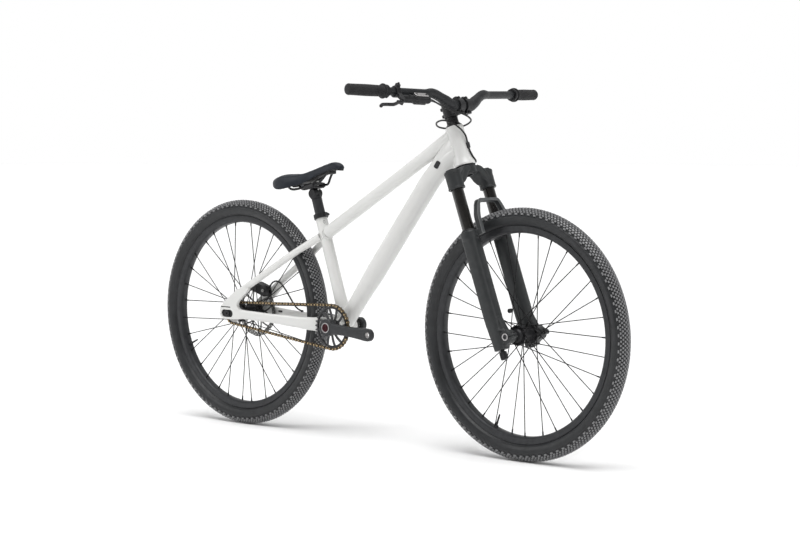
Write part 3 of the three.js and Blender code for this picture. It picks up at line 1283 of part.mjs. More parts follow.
// The underside of the base at a place along the saddle
function baseUnder(rings, place) {
  const after = Math.max(rings.findIndex((ring) => ring[0].x >= place), 1);
  const [from, to] = [rings[after - 1][0], rings[after][0]];
  return from.z + ((to.z - from.z) * (place - from.x)) / (to.x - from.x);
}

function railRoute(tailTop, noseTop) {
  const { railHalf, railRadius, railRise, railBack, railFront, railNose, railNoseHalf, railTail } = saddle;
  const grip = railClamp.half + railRadius;
  const half = [
    [-railTail, railHalf + railRadius, tailTop], [-railBack - railRadius, railHalf, railRise + railRadius],
    [-railBack + 2 * railRadius, railHalf, railRise], [-grip, railHalf, railRise], [grip, railHalf, railRise],
    [railFront, railHalf, railRise],
    [(railFront + railNose) / 2, (railHalf + railNoseHalf) / 2, (railRise + noseTop) / 2],
    [railNose, railNoseHalf, noseTop],
  ];
  const other = half.map(([x, y, z]) => [x, -y, z]).reverse();
  return [...half, [railNose + railRadius, 0, noseTop], ...other];
}

function addSaddle() {
  const { baseWall, baseShare, railHalf, railRadius, railRise, railNose, railNoseHalf, railTail, socket } = saddle;
  const rings = saddleShares.map(([place, wide, top, thick]) => saddleRing(wide, top, thick, place));
  piece(saddleGroup, 'saddle_cushion', loft(rings), finish.fabric());
  const baseRings = rings.slice(1, -1).map((ring) => {
    const left = ring.at(-1);
    const half = left.y * baseShare;
    const top = left.z - seam;
    const corners = [[-half, top - baseWall], [half, top - baseWall], [half, top], [-half, top]];
    return corners.map(([y, z]) => new THREE.Vector3(left.x, y, z));
  });
  const tailTop = baseUnder(baseRings, -railTail) - railRadius - seam;
  const noseTop = baseUnder(baseRings, railNose) - railRadius - seam;
  const route = railRoute(tailTop, noseTop);
  piece(saddleGroup, 'saddle_rails', cord(route, railRadius, railSteps, railSides), finish.blackMetal());
  const sockets = [-1, 1].map((side) => box(socket, socket, socket, new THREE.Vector3(
    -railTail, side * (railHalf + railRadius), tailTop,
  )));
  const noseMiddle = new THREE.Vector3(railNose + railRadius, 0, noseTop);
  const noseSocket = box(socket, 2 * railNoseHalf + socket, socket, noseMiddle);
  const railRoom = cord(route, railRadius + seam, railSteps, railSides);
  const base = joined(loft(baseRings), ...sockets, noseSocket).subtract(railRoom);
  const below = loft(rings.map((ring) => ring.map((point) => point.clone().setZ(point.z - seam))));
  piece(saddleGroup, 'saddle_base', largestOf(base.subtract(below)), finish.plastic());
  const { low, high, wide: clampWide } = railClamp;
  const block = box(2 * railClamp.half, 2 * clampWide, high - low, new THREE.Vector3(0, 0, (high + low) / 2));
  const headHole = disc(seatPost.headRadius + runningGap, -clampWide - overrun, clampWide + overrun, fineSides);
  const railHoles = [-1, 1].map((side) => {
    const lengthwise = post(railRadius + seam, -2 * railClamp.half, 2 * railClamp.half).rotate([0, 90, 0]);
    return moved(lengthwise, 0, side * railHalf, railRise);
  });
  const clamp = [headHole, ...railHoles].reduce((solid, cut) => solid.subtract(cut), block);
  piece(saddleGroup, 'rail_clamp', clamp, finish.blackMetal());
}

// From the master cylinder to the hose's first bend: shares of the way sideways, of the drop and of the bow back
const leadShares = [[0.058, 0.02, -0.1], [0.199, 0.141, 0.17], [0.458, 0.363, 1], [0.733, 0.665, 0.93]];

// From the first bend to the frame, counted from the top of the head tube along the steering axis
const brakeHoseRoute = [
  [61.7, -30, 17.2], [59.5, -2, 8.4], [44.4, 24, 2.2], [6.2, 39, 2.5], [-31, 32, 8.8], [-46, 10, 14.3],
  [-46.1, -12, 19.7], [-28.6, -33, 23.9], [5.4, -44, 17.7], [29.2, -40, 1.5], [36.8, -22, -18.4], [33.7, -4, -35.4],
  [28.5, 3, -58], [28.5, 3, -78.3], [27.7, 10, -95], [19.6, 28, -108], [-6.9, 38.5, -107.8], [-33.9, 36, -99.9],
  [-50.8, 31.6, -93.7], [-62, 28.9, -89.5],
];

// From the caliper to the chain stay, counted from the rear axle
const caliperHoseRoute = [
  [53.3, 50, 73.7], [60, 50.5, 81], [70, 51, 91], [85, 51.5, 96], [104, 52, 90], [122, 53, 73], [139, 54, 52],
  [156, 54.5, 31], [173, 55, 16], [192, 55.2, 9],
];

function brakeHosePoints() {
  bike.updateMatrixWorld(true);
  const exit = new THREE.Vector3(lever.bodyDrop, lever.bodyInboard + seam, 0);
  const start = steering.worldToLocal(leverGroup.localToWorld(exit));
  const route = brakeHoseRoute.map(([x, y, z]) => new THREE.Vector3(x, y, headTop + z));
  const way = route[0].clone().sub(start);
  const lead = leadShares.map(([sideShare, dropShare, bowShare]) => new THREE.Vector3(
    start.x + way.x * sideShare - hose.bow * bowShare, start.y + way.y * sideShare, start.z + way.z * dropShare,
  ));
  return [start, ...lead, ...route];
}

function addHoses() {
  piece(steering, 'brake_hose', cord(brakeHosePoints(), hose.radius, brakeHoseSteps), finish.rubber());
  const atAxle = cord(caliperHoseRoute, hose.radius, caliperHoseSteps);
  piece(bike, 'caliper_hose', moved(atAxle, ...rearAxlePoint.toArray()), finish.rubber());
}

const steps = [
  addMainTubes, addSeatTube, addBracket, addRearTriangle, addHeadset, addWheels, addRearAxle, addRearBrake, addFork,
  addStem, addBar, addLever, addCranks, addChain, addSprockets, addSeatPost, addSaddle, addHoses,
];
steps.forEach((step) => step());

export default bike;
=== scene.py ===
import math

import bmesh
import bpy
from mathutils import Matrix, Vector
from mathutils.bvhtree import BVHTree
from mathutils.geometry import tessellate_polygon


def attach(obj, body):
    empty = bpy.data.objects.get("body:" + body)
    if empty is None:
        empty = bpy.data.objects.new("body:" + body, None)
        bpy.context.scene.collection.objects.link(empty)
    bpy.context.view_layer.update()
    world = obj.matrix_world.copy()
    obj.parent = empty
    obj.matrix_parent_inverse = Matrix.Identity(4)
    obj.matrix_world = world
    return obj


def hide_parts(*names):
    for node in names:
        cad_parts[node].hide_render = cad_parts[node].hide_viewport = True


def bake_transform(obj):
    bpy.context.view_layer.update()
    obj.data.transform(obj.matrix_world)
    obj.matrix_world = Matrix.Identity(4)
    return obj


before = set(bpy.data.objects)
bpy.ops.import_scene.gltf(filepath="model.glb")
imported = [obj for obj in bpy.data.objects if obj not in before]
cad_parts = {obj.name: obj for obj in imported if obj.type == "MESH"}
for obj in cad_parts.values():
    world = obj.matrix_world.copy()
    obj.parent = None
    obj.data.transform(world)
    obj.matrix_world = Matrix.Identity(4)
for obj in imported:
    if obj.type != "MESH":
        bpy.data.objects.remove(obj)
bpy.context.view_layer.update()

MM = 0.001
TURN = 2 * math.pi
radians = math.radians
AHEAD, LEFT, UP = Vector((1, 0, 0)), Vector((0, 1, 0)), Vector((0, 0, 1))
SIDES = (("right", -1), ("left", 1))
SQUARE = ((-1, -1), (1, -1), (1, 1), (-1, 1))


def leaning(degrees):
    """The up and forward directions of a part that leans back."""
    lean = radians(degrees)
    return Vector((-math.sin(lean), 0, math.cos(lean))), Vector((math.cos(lean), 0, math.sin(lean)))


def at(x, y, z):
    return Matrix.Translation((x, y, z))


def turned(degrees, axis):
    return Matrix.Rotation(radians(degrees), 4, axis)


def placed(origin, x, y, z):
    made = Matrix((x, y, z)).transposed().to_4x4()
    made.translation = origin
    return made


def aimed(origin, direction):
    """A frame whose Z axis points along a direction."""
    made = Vector(direction).to_track_quat("Z", "Y").to_matrix().to_4x4()
    made.translation = origin
    return made


# Layout of the bike
wheelbase = 1088
axle_height = 346
rear_centre = 417.3
bracket_drop = 18.3
head_angle, seat_angle = 69.7, 71.7
fork_offset = 37
fork_length = 499
head_length = 115.5
seat_shift = 15
head_top = fork_length + head_length

rear_axle = Vector((-wheelbase / 2, 0, axle_height))
front_axle = Vector((wheelbase / 2, 0, axle_height))
bracket = Vector((-wheelbase / 2 + rear_centre, 0, axle_height - bracket_drop))
steer_up, steer_forward = leaning(90 - head_angle)
steer_foot = front_axle - steer_forward * fork_offset
seat_up, seat_forward = leaning(90 - seat_angle)
seat_foot = bracket + Vector((seat_shift, 0, 0))

STEER = placed(steer_foot, steer_forward, LEFT, steer_up)
SEAT = placed(seat_foot, seat_forward, LEFT, seat_up)
FRONT_WHEEL = Matrix.Translation(front_axle)
REAR_WHEEL = Matrix.Translation(rear_axle)
DRIVE = Matrix.Translation(bracket)


# Camera, floor and light
def linked(name, data):
    made = bpy.data.objects.new(name, data)
    bpy.context.scene.collection.objects.link(made)
    return made


def look(made, direction):
    """Points a camera or lamp along a direction."""
    made.rotation_mode = "QUATERNION"
    made.rotation_quaternion = direction.to_track_quat("-Z", "Y")


def make_camera():
    camera = linked("camera", bpy.data.cameras.new("camera"))
    place, target = Vector((3.7224, -4.0942, 0.8625)), Vector((-0.0576, 0.1727, 0.46375))
    camera.location = place
    look(camera, target - place)
    camera.data.sensor_width = 36
    camera.data.lens = 86.13
    camera.data.clip_end = 100
    bpy.context.scene.camera = camera


def area_light(name, place, target, size, power):
    lamp = bpy.data.lights.new(name, "AREA")
    lamp.shape = "DISK"
    lamp.size = size
    lamp.energy = power
    made = linked(name, lamp)
    made.location = place
    look(made, Vector(target) - Vector(place))


def make_stage():
    floor = linked("floor", bpy.data.meshes.new("floor"))
    reach = 60
    floor.data.from_pydata([(reach * u, reach * v, 0) for u, v in SQUARE], [], [(0, 1, 2, 3)])
    paper, _, shader = nodes_of("pale_floor")
    shader.inputs["Base Color"].default_value = (0.94, 0.94, 0.94, 1)
    shader.inputs["Roughness"].default_value = 0.9
    floor.data.materials.append(paper)
    bpy.context.scene.view_settings.view_transform = "Standard"
    sun = bpy.data.lights.new("soft_sun", "SUN")
    sun.energy = 2.7
    sun.angle = radians(50)
    look(linked("soft_sun", sun), Vector((-0.14, 0.22, -1)))
    area_light("side_light", (-2.6, -3.2, 2.2), (0, 0, 0.5), 1.6, 30)
    area_light("front_light", (4.2, -0.6, 1.8), (0.2, 0, 0.5), 1.4, 24)


def make_sky():
    """White round the horizon on the far side, softer overhead and on the near side."""
    world = bpy.data.worlds.new("studio")
    world.use_nodes = True
    tree = world.node_tree
    place = tree.nodes.new("ShaderNodeTexCoord").outputs["Generated"]
    split = tree.nodes.new("ShaderNodeSeparateXYZ")
    tree.links.new(place, split.inputs["Vector"])
    far_side = tree.nodes.new("ShaderNodeVectorMath")
    far_side.operation = "DOT_PRODUCT"
    far_side.inputs[1].default_value = (-0.66, 0.75, 0)
    tree.links.new(place, far_side.inputs[0])
    blend = tree.nodes.new("ShaderNodeMix")
    blend.data_type = "RGBA"
    blend.blend_type = "MULTIPLY"
    blend.inputs["Factor"].default_value = 1
    overhead = ramp(tree, split.outputs["Z"], [(0.0, (1.0,)), (0.14, (1.0,)), (0.5, (0.5,))])
    tree.links.new(overhead, blend.inputs["A"])
    half = tree.nodes.new("ShaderNodeMapRange")
    half.inputs["From Min"].default_value = -0.5
    half.inputs["From Max"].default_value = 0.5
    half.inputs["To Min"].default_value = 0.36
    tree.links.new(far_side.outputs["Value"], half.inputs["Value"])
    tree.links.new(half.outputs["Result"], blend.inputs["B"])
    tree.links.new(blend.outputs["Result"], tree.nodes["Background"].inputs["Color"])
    bpy.context.scene.world = world


# Materials
def nodes_of(name):
    made = bpy.data.materials.new(name)
    made.use_nodes = True
    tree = made.node_tree
    return made, tree, tree.nodes["Principled BSDF"]


def noise(tree, scale, detail, stretch=(1, 1, 1)):
    place = tree.nodes.new("ShaderNodeTexCoord")
    mapping = tree.nodes.new("ShaderNodeMapping")
    mapping.inputs["Scale"].default_value = stretch
    made = tree.nodes.new("ShaderNodeTexNoise")
    made.inputs["Scale"].default_value = scale
    made.inputs["Detail"].default_value = detail
    tree.links.new(place.outputs["Object"], mapping.inputs["Vector"])
    tree.links.new(mapping.outputs["Vector"], made.inputs["Vector"])
    return made.outputs["Fac"]


def ramp(tree, source, stops):
    """A colour ramp; a stop with one number is a grey."""
    made = tree.nodes.new("ShaderNodeValToRGB")
    while len(made.color_ramp.elements) < len(stops):
        made.color_ramp.elements.new(0.5)
    for element, (place, colour) in zip(made.color_ramp.elements, stops):
        element.position = place
        element.color = (*colour, 1) if len(colour) == 3 else (colour[0],) * 3 + (1,)
    tree.links.new(source, made.inputs["Fac"])
    return made.outputs["Color"]


def bump(tree, shader, heights):
    """Chained bumps; each is (height socket, strength, distance in millimetres)."""
    last = None
    for source, strength, distance in heights:
        made = tree.nodes.new("ShaderNodeBump")
        made.inputs["Strength"].default_value = strength
        made.inputs["Distance"].default_value = distance * MM
        tree.links.new(source, made.inputs["Height"])
        if last is not None:
            tree.links.new(last, made.inputs["Normal"])
        last = made.outputs["Normal"]
    tree.links.new(last, shader.inputs["Normal"])


def surface(name, dark, light, rough, metal=0.0, scale=60, grain=900, bump_mm=0.05, edge_wear_and_highlight=None, coat=0.0,
            stretch=(1, 1, 1), specular=0.35):
    """A finish with colour clouds, a roughness range, fine grain in the bump and paler edges, which stand
    partly for wear and partly for a painted highlight.
    """
    made, tree, shader = nodes_of(name)
    colour = ramp(tree, noise(tree, scale, 5.0), [(0.32, dark), (0.68, light)])
    # Pointiness picks out the edges, which are mixed towards a paler colour: partly wear, partly a painted
    # highlight where light catches them.
    if edge_wear_and_highlight is not None:
        edges = tree.nodes.new("ShaderNodeNewGeometry").outputs["Pointiness"]
        wear_and_highlight_mask = ramp(tree, edges, [(0.52, (0.0,)), (0.62, (1.0,))])
        mix = tree.nodes.new("ShaderNodeMix")
        mix.data_type = "RGBA"
        tree.links.new(wear_and_highlight_mask, mix.inputs["Factor"])
        tree.links.new(colour, mix.inputs["A"])
        mix.inputs["B"].default_value = (*edge_wear_and_highlight, 1)
        colour = mix.outputs["Result"]
    tree.links.new(colour, shader.inputs["Base Color"])
    smear = ramp(tree, noise(tree, scale * 2.3, 3.0), [(0.3, (rough[0],)), (0.7, (rough[1],))])
    tree.links.new(smear, shader.inputs["Roughness"])
    bump(tree, shader, [(noise(tree, grain, 2.0, stretch), 0.35, bump_mm)])
    shader.inputs["Metallic"].default_value = metal
    shader.inputs["Specular IOR Level"].default_value = specular
    shader.inputs["Coat Weight"].default_value = coat
    shader.inputs["Coat Roughness"].default_value = 0.12
    return made


def leather_like(name, dark, light, rough, cell=420, depth=0.12):
    """A fine pebbled skin, for the saddle cover and the grips."""
    made, tree, shader = nodes_of(name)
    place = tree.nodes.new("ShaderNodeTexCoord").outputs["Object"]
    pebbles = tree.nodes.new("ShaderNodeTexVoronoi")
    pebbles.feature = "SMOOTH_F1"
    pebbles.inputs["Scale"].default_value = cell
    tree.links.new(place, pebbles.inputs["Vector"])
    height = pebbles.outputs["Distance"]
    colour = ramp(tree, noise(tree, 35, 4.0), [(0.3, dark), (0.7, light)])
    tree.links.new(colour, shader.inputs["Base Color"])
    tree.links.new(ramp(tree, height, [(0.1, (rough[0],)), (0.7, (rough[1],))]), shader.inputs["Roughness"])
    bump(tree, shader, [(height, 0.5, depth), (noise(tree, 1500, 2.0), 0.2, 0.03)])
    shader.inputs["Specular IOR Level"].default_value = 0.3
    shader.inputs["Sheen Weight"].default_value = 0.05
    shader.inputs["Sheen Roughness"].default_value = 0.5
    return made


# Each finish: its material and the slot that it stands in
finishes = {
    "paint": (surface("frame_paint", (0.665, 0.665, 0.65), (0.68, 0.68, 0.665), (0.28, 0.34), scale=5,
                      bump_mm=0.006, coat=0.35, specular=0.5), "frame_paint"),
    "black": (surface("black_anodised", (0.010, 0.010, 0.011), (0.018, 0.018, 0.020), (0.34, 0.46), 0.2,
                      edge_wear_and_highlight=(0.05, 0.05, 0.053)), "black_metal"),
    "bar": (surface("bar_black", (0.016, 0.017, 0.019), (0.024, 0.025, 0.027), (0.42, 0.52), 0.2,
                    grain=1400), "grey_metal"),
    "gloss": (surface("stanchion_black", (0.010, 0.009, 0.008), (0.016, 0.014, 0.012), (0.08, 0.13), 0.5,
                      bump_mm=0.004, coat=1.0, specular=0.5), "black_metal"),
    "fork": (surface("fork_grey", (0.022, 0.024, 0.025), (0.030, 0.032, 0.033), (0.38, 0.48), 0.1, grain=700,
                     edge_wear_and_highlight=(0.10, 0.10, 0.10)), "fork_grey"),
    # The fork's grey made paler, with still paler edges: a painted highlight along the arch's ridges.
    "edge": (surface("fork_rib_painted_highlight_grey", (0.07, 0.074, 0.076), (0.10, 0.105, 0.108), (0.30, 0.40), 0.2,
                     edge_wear_and_highlight=(0.22, 0.22, 0.22), specular=0.5), "fork_grey"),
    "crank": (surface("crank_grey", (0.026, 0.027, 0.029), (0.038, 0.039, 0.042), (0.34, 0.44), 0.3,
                      edge_wear_and_highlight=(0.10, 0.10, 0.104)), "grey_metal"),
    "steel": (surface("brushed_steel", (0.30, 0.30, 0.295), (0.42, 0.42, 0.41), (0.24, 0.40), 1.0, scale=120,
                      grain=500, stretch=(1, 6, 1)), "steel"),
    "spoke": (surface("spoke_black", (0.004, 0.004, 0.0045), (0.007, 0.007, 0.0075), (0.4, 0.5),
                      specular=0.2), "black_metal"),
    "rotor": (surface("rotor_steel", (0.11, 0.11, 0.11), (0.18, 0.18, 0.175), (0.28, 0.42), 1.0, scale=120,
                      grain=500), "steel"),
    "gold": (surface("chain_gold", (0.34, 0.25, 0.14), (0.50, 0.37, 0.21), (0.22, 0.32), 0.9, scale=300,
                     edge_wear_and_highlight=(0.36, 0.28, 0.18)), "chain_steel"),
    "bronze": (surface("chain_bronze", (0.055, 0.042, 0.028), (0.10, 0.076, 0.048), (0.28, 0.40), 0.85,
                       scale=300, edge_wear_and_highlight=(0.20, 0.155, 0.10)), "chain_steel"),
    "chain_dark": (surface("chain_dark", (0.016, 0.013, 0.010), (0.035, 0.028, 0.020), (0.30, 0.44), 0.8,
                           scale=300), "chain_steel"),
    "tyre": (surface("tyre_rubber", (0.014, 0.015, 0.016), (0.022, 0.023, 0.025), (0.34, 0.50), scale=40,
                     grain=1100, bump_mm=0.08, edge_wear_and_highlight=(0.09, 0.09, 0.094)), "tyre"),
    # The tyre's rubber made paler, with pale edges: a painted highlight on the tread knobs.
    "tread": (surface("tread_rubber_painted_highlight", (0.026, 0.027, 0.0285), (0.046, 0.0475, 0.050), (0.24, 0.36), scale=40,
                      grain=1100, edge_wear_and_highlight=(0.20, 0.20, 0.205), specular=0.5), "tyre"),
    "grip": (leather_like("grip_rubber", (0.009, 0.009, 0.010), (0.016, 0.016, 0.017), (0.55, 0.75), 700,
                          0.08), "grip_rubber"),
    "hose": (surface("hose_black", (0.006, 0.006, 0.007), (0.012, 0.012, 0.013), (0.34, 0.44)), "hose"),
    "cover": (leather_like("saddle_cover", (0.006, 0.009, 0.014), (0.012, 0.016, 0.023), (0.46, 0.62)),
              "saddle_cover"),
    "plastic": (surface("moulded_plastic", (0.009, 0.009, 0.010), (0.016, 0.016, 0.017), (0.5, 0.62),
                        grain=1300, bump_mm=0.08), "saddle_plastic"),
    "red": (surface("red_bolt", (0.026, 0.004, 0.006), (0.044, 0.006, 0.010), (0.28, 0.38), 0.7),
            "black_metal"),
    "ring": (surface("pale_ring", (0.40, 0.39, 0.39), (0.52, 0.50, 0.50), (0.3, 0.4), 0.8), "steel"),
}


# Points and lines
def turns(count, start=0.0):
    """The evenly spaced angles of one whole turn."""
    return [start + TURN * step / count for step in range(count)]


def half_turn(steps):
    return [-math.pi / 2 + math.pi * step / steps for step in range(steps + 1)]


def polar(radius, turn, x=0.0, z=0.0):
    return x + radius * math.cos(turn), z + radius * math.sin(turn)


def wheel_point(radius, turn, y=0.0):
    """A point of a circle round the Y axis."""
    return Vector((radius * math.cos(turn), y, radius * math.sin(turn)))


def bowed(value, power):
    """A power of a value that keeps its sign."""
    return math.copysign(abs(value) ** power, value)


def softened(profile, radius, steps=3):
    """A profile or outline with its corners rounded; a first point that equals the last closes it."""
    closed = profile[0] == profile[-1]
    points = [Vector(p) for p in (profile[:-1] if closed else profile)]
    made = []
    for index, point in enumerate(points):
        back, ahead = points[index - 1] - point, points[(index + 1) % len(points)] - point
        ends = not closed and index in (0, len(points) - 1)
        reach = 0 if ends else min(radius, 0.45 * back.length, 0.45 * ahead.length)
        if reach < 0.01 or back.normalized().dot(ahead.normalized()) < -0.985:
            made.append(tuple(point))
            continue
        start, end = point + back.normalized() * reach, point + ahead.normalized() * reach
        for step in range(steps + 1):
            share = step / steps
            mixed = start * (1 - share) ** 2 + point * 2 * share * (1 - share) + end * share ** 2
            made.append(tuple(mixed))
    return made + made[:1] if closed else made


def rounded(points, radius, steps):
    """A closed outline with its corners rounded."""
    return softened([*points, points[0]], radius, steps)[:-1]


def circle(radius, sides=48, x=0.0, z=0.0):
    return [polar(radius, turn, x, z) for turn in turns(sides)]


def slot_outline(half, radius, sides=10, x=0.0, z=0.0):
    front = [polar(radius, turn, x + half, z) for turn in half_turn(sides)]
    return front + [(2 * x - u, 2 * z - v) for u, v in front]


def vectors(points, scale=1.0):
    return [Vector(p) / scale for p in points]


def across_plane(points):
    """A line that starts or ends in the bike's middle plane, seen in a mirror and in reverse."""
    return [Vector((x, -y, z)) for x, y, z in reversed(points)]


def quadratic(a, b, c, steps):
    shares = [step / steps for step in range(steps + 1)]
    return [a * (1 - t) ** 2 + b * 2 * t * (1 - t) + c * t * t for t in shares]


def spline(points, steps):
    """A smooth line through points, with a number of steps between each pair."""
    known = vectors(points)
    known = [2 * known[0] - known[1], *known, 2 * known[-1] - known[-2]]
    made = []
    for p0, p1, p2, p3 in zip(known, known[1:], known[2:], known[3:]):
        t1 = (p1 - p0).length ** 0.5
        t2 = t1 + (p2 - p1).length ** 0.5
        t3 = t2 + (p3 - p2).length ** 0.5
        for step in range(steps):
            t = t1 + (t2 - t1) * step / steps
            a1 = p0.lerp(p1, t / t1)
            a2 = p1.lerp(p2, (t - t1) / (t2 - t1))
            a3 = p2.lerp(p3, (t - t2) / (t3 - t2))
            b1 = a1.lerp(a2, t / t2)
            b2 = a2.lerp(a3, (t - t1) / (t3 - t1))
            made.append(b1.lerp(b2, (t - t1) / (t2 - t1)))
    return made + [known[-2]]


def evenly(points, count):
    """The same line in a number of equal steps."""
    lengths = [0.0]
    for one, two in zip(points, points[1:]):
        lengths.append(lengths[-1] + (two - one).length)
    made, index = [], 0
    for step in range(count + 1):
        want = lengths[-1] * step / count
        while index < len(points) - 2 and lengths[index + 1] < want:
            index += 1
        span = max(lengths[index + 1] - lengths[index], 1e-9)
        made.append(points[index].lerp(points[index + 1], (want - lengths[index]) / span))
    return made


# Shapes: each is a list of points and a list of faces
def on_axis(u, v, w, axis):
    return {"y": (u, w, v), "z": (u, v, w), "x": (w, u, v)}[axis]


def lathe(profile, sides=48, axis="z"):
    """A profile of (radius, place) pairs turned round an axis."""
    closed = profile[0] == profile[-1]
    points, rings = [], []
    for radius, place in profile[:-1] if closed else profile:
        count = sides if radius > 0 else 1
        rings.append(range(len(points), len(points) + count))
        points += [on_axis(*polar(radius, turn), place, axis) for turn in turns(sides)[:count]]
    if closed:
        rings.append(rings[0])
    faces = []
    for one, two in zip(rings, rings[1:]):
        for side in range(sides):
            after = (side + 1) % sides
            corners = [one[side % len(one)], one[after % len(one)],
                       two[after % len(two)], two[side % len(two)]]
            corners = list(dict.fromkeys(corners))
            if len(corners) > 2:
                faces.append(corners)
    return points, faces


def knob(profile, soft, sides=48, axis="z"):
    """A solid turned from half its outline."""
    return lathe(softened(profile, soft), sides, axis)


def hoop(points, soft, sides=48, axis="z", steps=3):
    """A ring or sleeve turned from its closed cross-section."""
    return lathe(softened([*points, points[0]], soft, steps), sides, axis)


def disc(radius, low, high, soft=0.8, sides=48, axis="y"):
    return knob([(0, low), (radius, low), (radius, high), (0, high)], soft, sides, axis)


def washer(inner, outer, low, high, soft=0.6, sides=48, axis="y"):
    return hoop([(inner, low), (outer, low), (outer, high), (inner, high)], soft, sides, axis)


def size_at(sizes, share):
    """Half width and half height at a share of the length, eased between the stations of a table."""
    if not isinstance(sizes, list):
        return sizes, sizes
    for (s0, w0, h0), (s1, w1, h1) in zip(sizes, sizes[1:]):
        if share <= s1:
            t = min(max((share - s0) / max(s1 - s0, 1e-9), 0), 1)
            t = t * t * (3 - 2 * t)
            return w0 + (w1 - w0) * t, h0 + (h1 - h0) * t
    return sizes[-1][1:]


def section(centre, across, upward, wide, tall, sides, power):
    """A ring between an ellipse (power 2) and a box (a high power)."""
    made = []
    for side in range(sides):
        turn = TURN * (side + 0.5) / sides
        u, v = bowed(math.cos(turn), 2 / power), bowed(math.sin(turn), 2 / power)
        made.append(centre + across * wide * u + upward * tall * v)
    return made


def loft(rings, closed=False):
    sides, points = len(rings[0]), [p for ring in rings for p in ring]
    faces = []
    for row in range(len(rings) if closed else len(rings) - 1):
        below, above = row * sides, (row + 1) % len(rings) * sides
        for side in range(sides):
            after = (side + 1) % sides
            faces.append([below + side, below + after, above + after, above + side])
    if not closed:
        faces += [list(range(sides)), list(range(len(points) - sides, len(points)))]
    return points, faces


def rings_along(line, sizes, sides, across=None, power=2.0, closed=False):
    rings, last = [], None
    count = len(line)
    for index, point in enumerate(line):
        ahead = line[(index + 1) % count] if closed else line[min(index + 1, count - 1)]
        behind = line[index - 1] if closed else line[max(index - 1, 0)]
        tangent = (ahead - behind).normalized()
        guide = across if across is not None else (last or tangent.orthogonal())
        sideways = (guide - tangent * guide.dot(tangent)).normalized()
        last = sideways
        wide, tall = size_at(sizes, index / (count if closed else count - 1))
        rings.append(section(point, sideways, tangent.cross(sideways), wide, tall, sides, power))
    return rings


def tube(line, sizes, sides, across=None, power=2.0):
    return loft(rings_along(line, sizes, sides, across, power))


def plate(outline, low, high, holes=(), axis="y", floor=None):
    """An outline with holes given a thickness; a floor stops the holes short of the low face."""
    low, high = sorted((low, high))
    loops = [outline, *holes]
    points, starts = [], []
    for level in (high, low):
        for loop in loops:
            starts.append(len(points))
            points += [on_axis(u, v, level, axis) for u, v in loop]
    count = len(points) // 2
    flat = [[Vector((u, v, 0)) for u, v in loop] for loop in loops]
    top = tessellate_polygon(flat)
    base = top if floor is None else tessellate_polygon(flat[:1])
    faces = [list(face) for face in top] + [[index + count for index in face] for face in base]
    for number, loop in enumerate(loops):
        high_start, low_start = starts[number], starts[number + len(loops)]
        if floor is not None and number > 0:
            for offset, (u, v) in enumerate(loop):
                points[low_start + offset] = on_axis(u, v, floor, axis)
            faces.append([low_start + step for step in range(len(loop))])
        for step in range(len(loop)):
            after = (step + 1) % len(loop)
            faces.append([high_start + step, high_start + after, low_start + after, low_start + step])
    return points, faces


def rounded_box(long, wide, tall, centre=(0, 0, 0), soft=2.0, edge=0.7):
    """A block with rounded corners seen from the side and softened faces."""
    outline = rounded([(u * long / 2, v * tall / 2) for u, v in SQUARE], soft, 4)
    x, y, z = centre
    rings = []
    for level, shrink in ((-1, edge), (-1, 0), (1, 0), (1, edge)):
        depth = wide / 2 - (0 if shrink else edge)
        keep = (1 - 2 * shrink / long, 1 - 2 * shrink / tall)
        rings.append([Vector((x + u * keep[0], y + level * depth, z + v * keep[1])) for u, v in outline])
    return loft(rings)


def flat_bar(line, half_wide, half_thick):
    """A flat strip along a line in the XZ plane."""
    rings = []
    for index, point in enumerate(line):
        tangent = (line[min(index + 1, len(line) - 1)] - line[max(index - 1, 0)]).normalized()
        side = tangent.cross(LEFT)
        rings.append([point + side * u * half_wide + LEFT * v * half_thick for u, v in SQUARE])
    return loft(rings)


def bolt(radius, height, key, depth=None):
    """A socket-head bolt along Z, its head's foot at the origin."""
    socket = circle(key / math.sqrt(3), 6)
    return [plate(circle(radius, 28), 0, height, [socket], "z", height - (depth or height * 0.6))]


def moved(parts, *matrices):
    whole = Matrix.Identity(4)
    for matrix in matrices:
        whole = whole @ matrix
    return [([whole @ Vector(p) for p in points], faces) for points, faces in parts]


# Pieces
def shade(shape, degrees):
    """Smooth shading, broken at edges sharper than an angle."""
    for face in shape.faces:
        face.smooth = True
    for edge in shape.edges:
        edge.smooth = len(edge.link_faces) != 2 or edge.calc_face_angle(0) < radians(degrees)


def shade_by_angle(made, degrees):
    shape = bmesh.new()
    shape.from_mesh(made.data)
    shade(shape, degrees)
    shape.to_mesh(made.data)
    shape.free()


def object_of(name, parts, place=Matrix(), crease=38):
    shape = bmesh.new()
    for points, faces in parts:
        made = [shape.verts.new((place @ Vector(p)) * MM) for p in points]
        for face in faces:
            shape.faces.new([made[index] for index in face])
    bmesh.ops.recalc_face_normals(shape, faces=shape.faces[:])
    shade(shape, crease)
    mesh = bpy.data.meshes.new(name)
    shape.to_mesh(mesh)
    shape.free()
    return linked(name, mesh)


def settle(made):
    """Keeps what an object's modifiers make of it."""
    bpy.context.view_layer.update()
    shown = made.evaluated_get(bpy.context.evaluated_depsgraph_get())
    mesh = bpy.data.meshes.new_from_object(shown)
    made.modifiers.clear()
    made.data = mesh


def add_bevel(made, width, segments, degrees):
    edge = made.modifiers.new("edge", "BEVEL")
    edge.width = width * MM
    edge.segments = segments
    edge.limit_method = "ANGLE"
    edge.angle_limit = radians(degrees)
    return edge


def melt(made, voxel, rounds):
    """Runs overlapping shapes together into one smooth skin; the voxel is in millimetres."""
    skin = made.modifiers.new("skin", "REMESH")
    skin.mode = "VOXEL"
    skin.voxel_size = voxel * MM
    flow = made.modifiers.new("flow", "SMOOTH")
    flow.factor = 0.5
    flow.iterations = rounds
    settle(made)


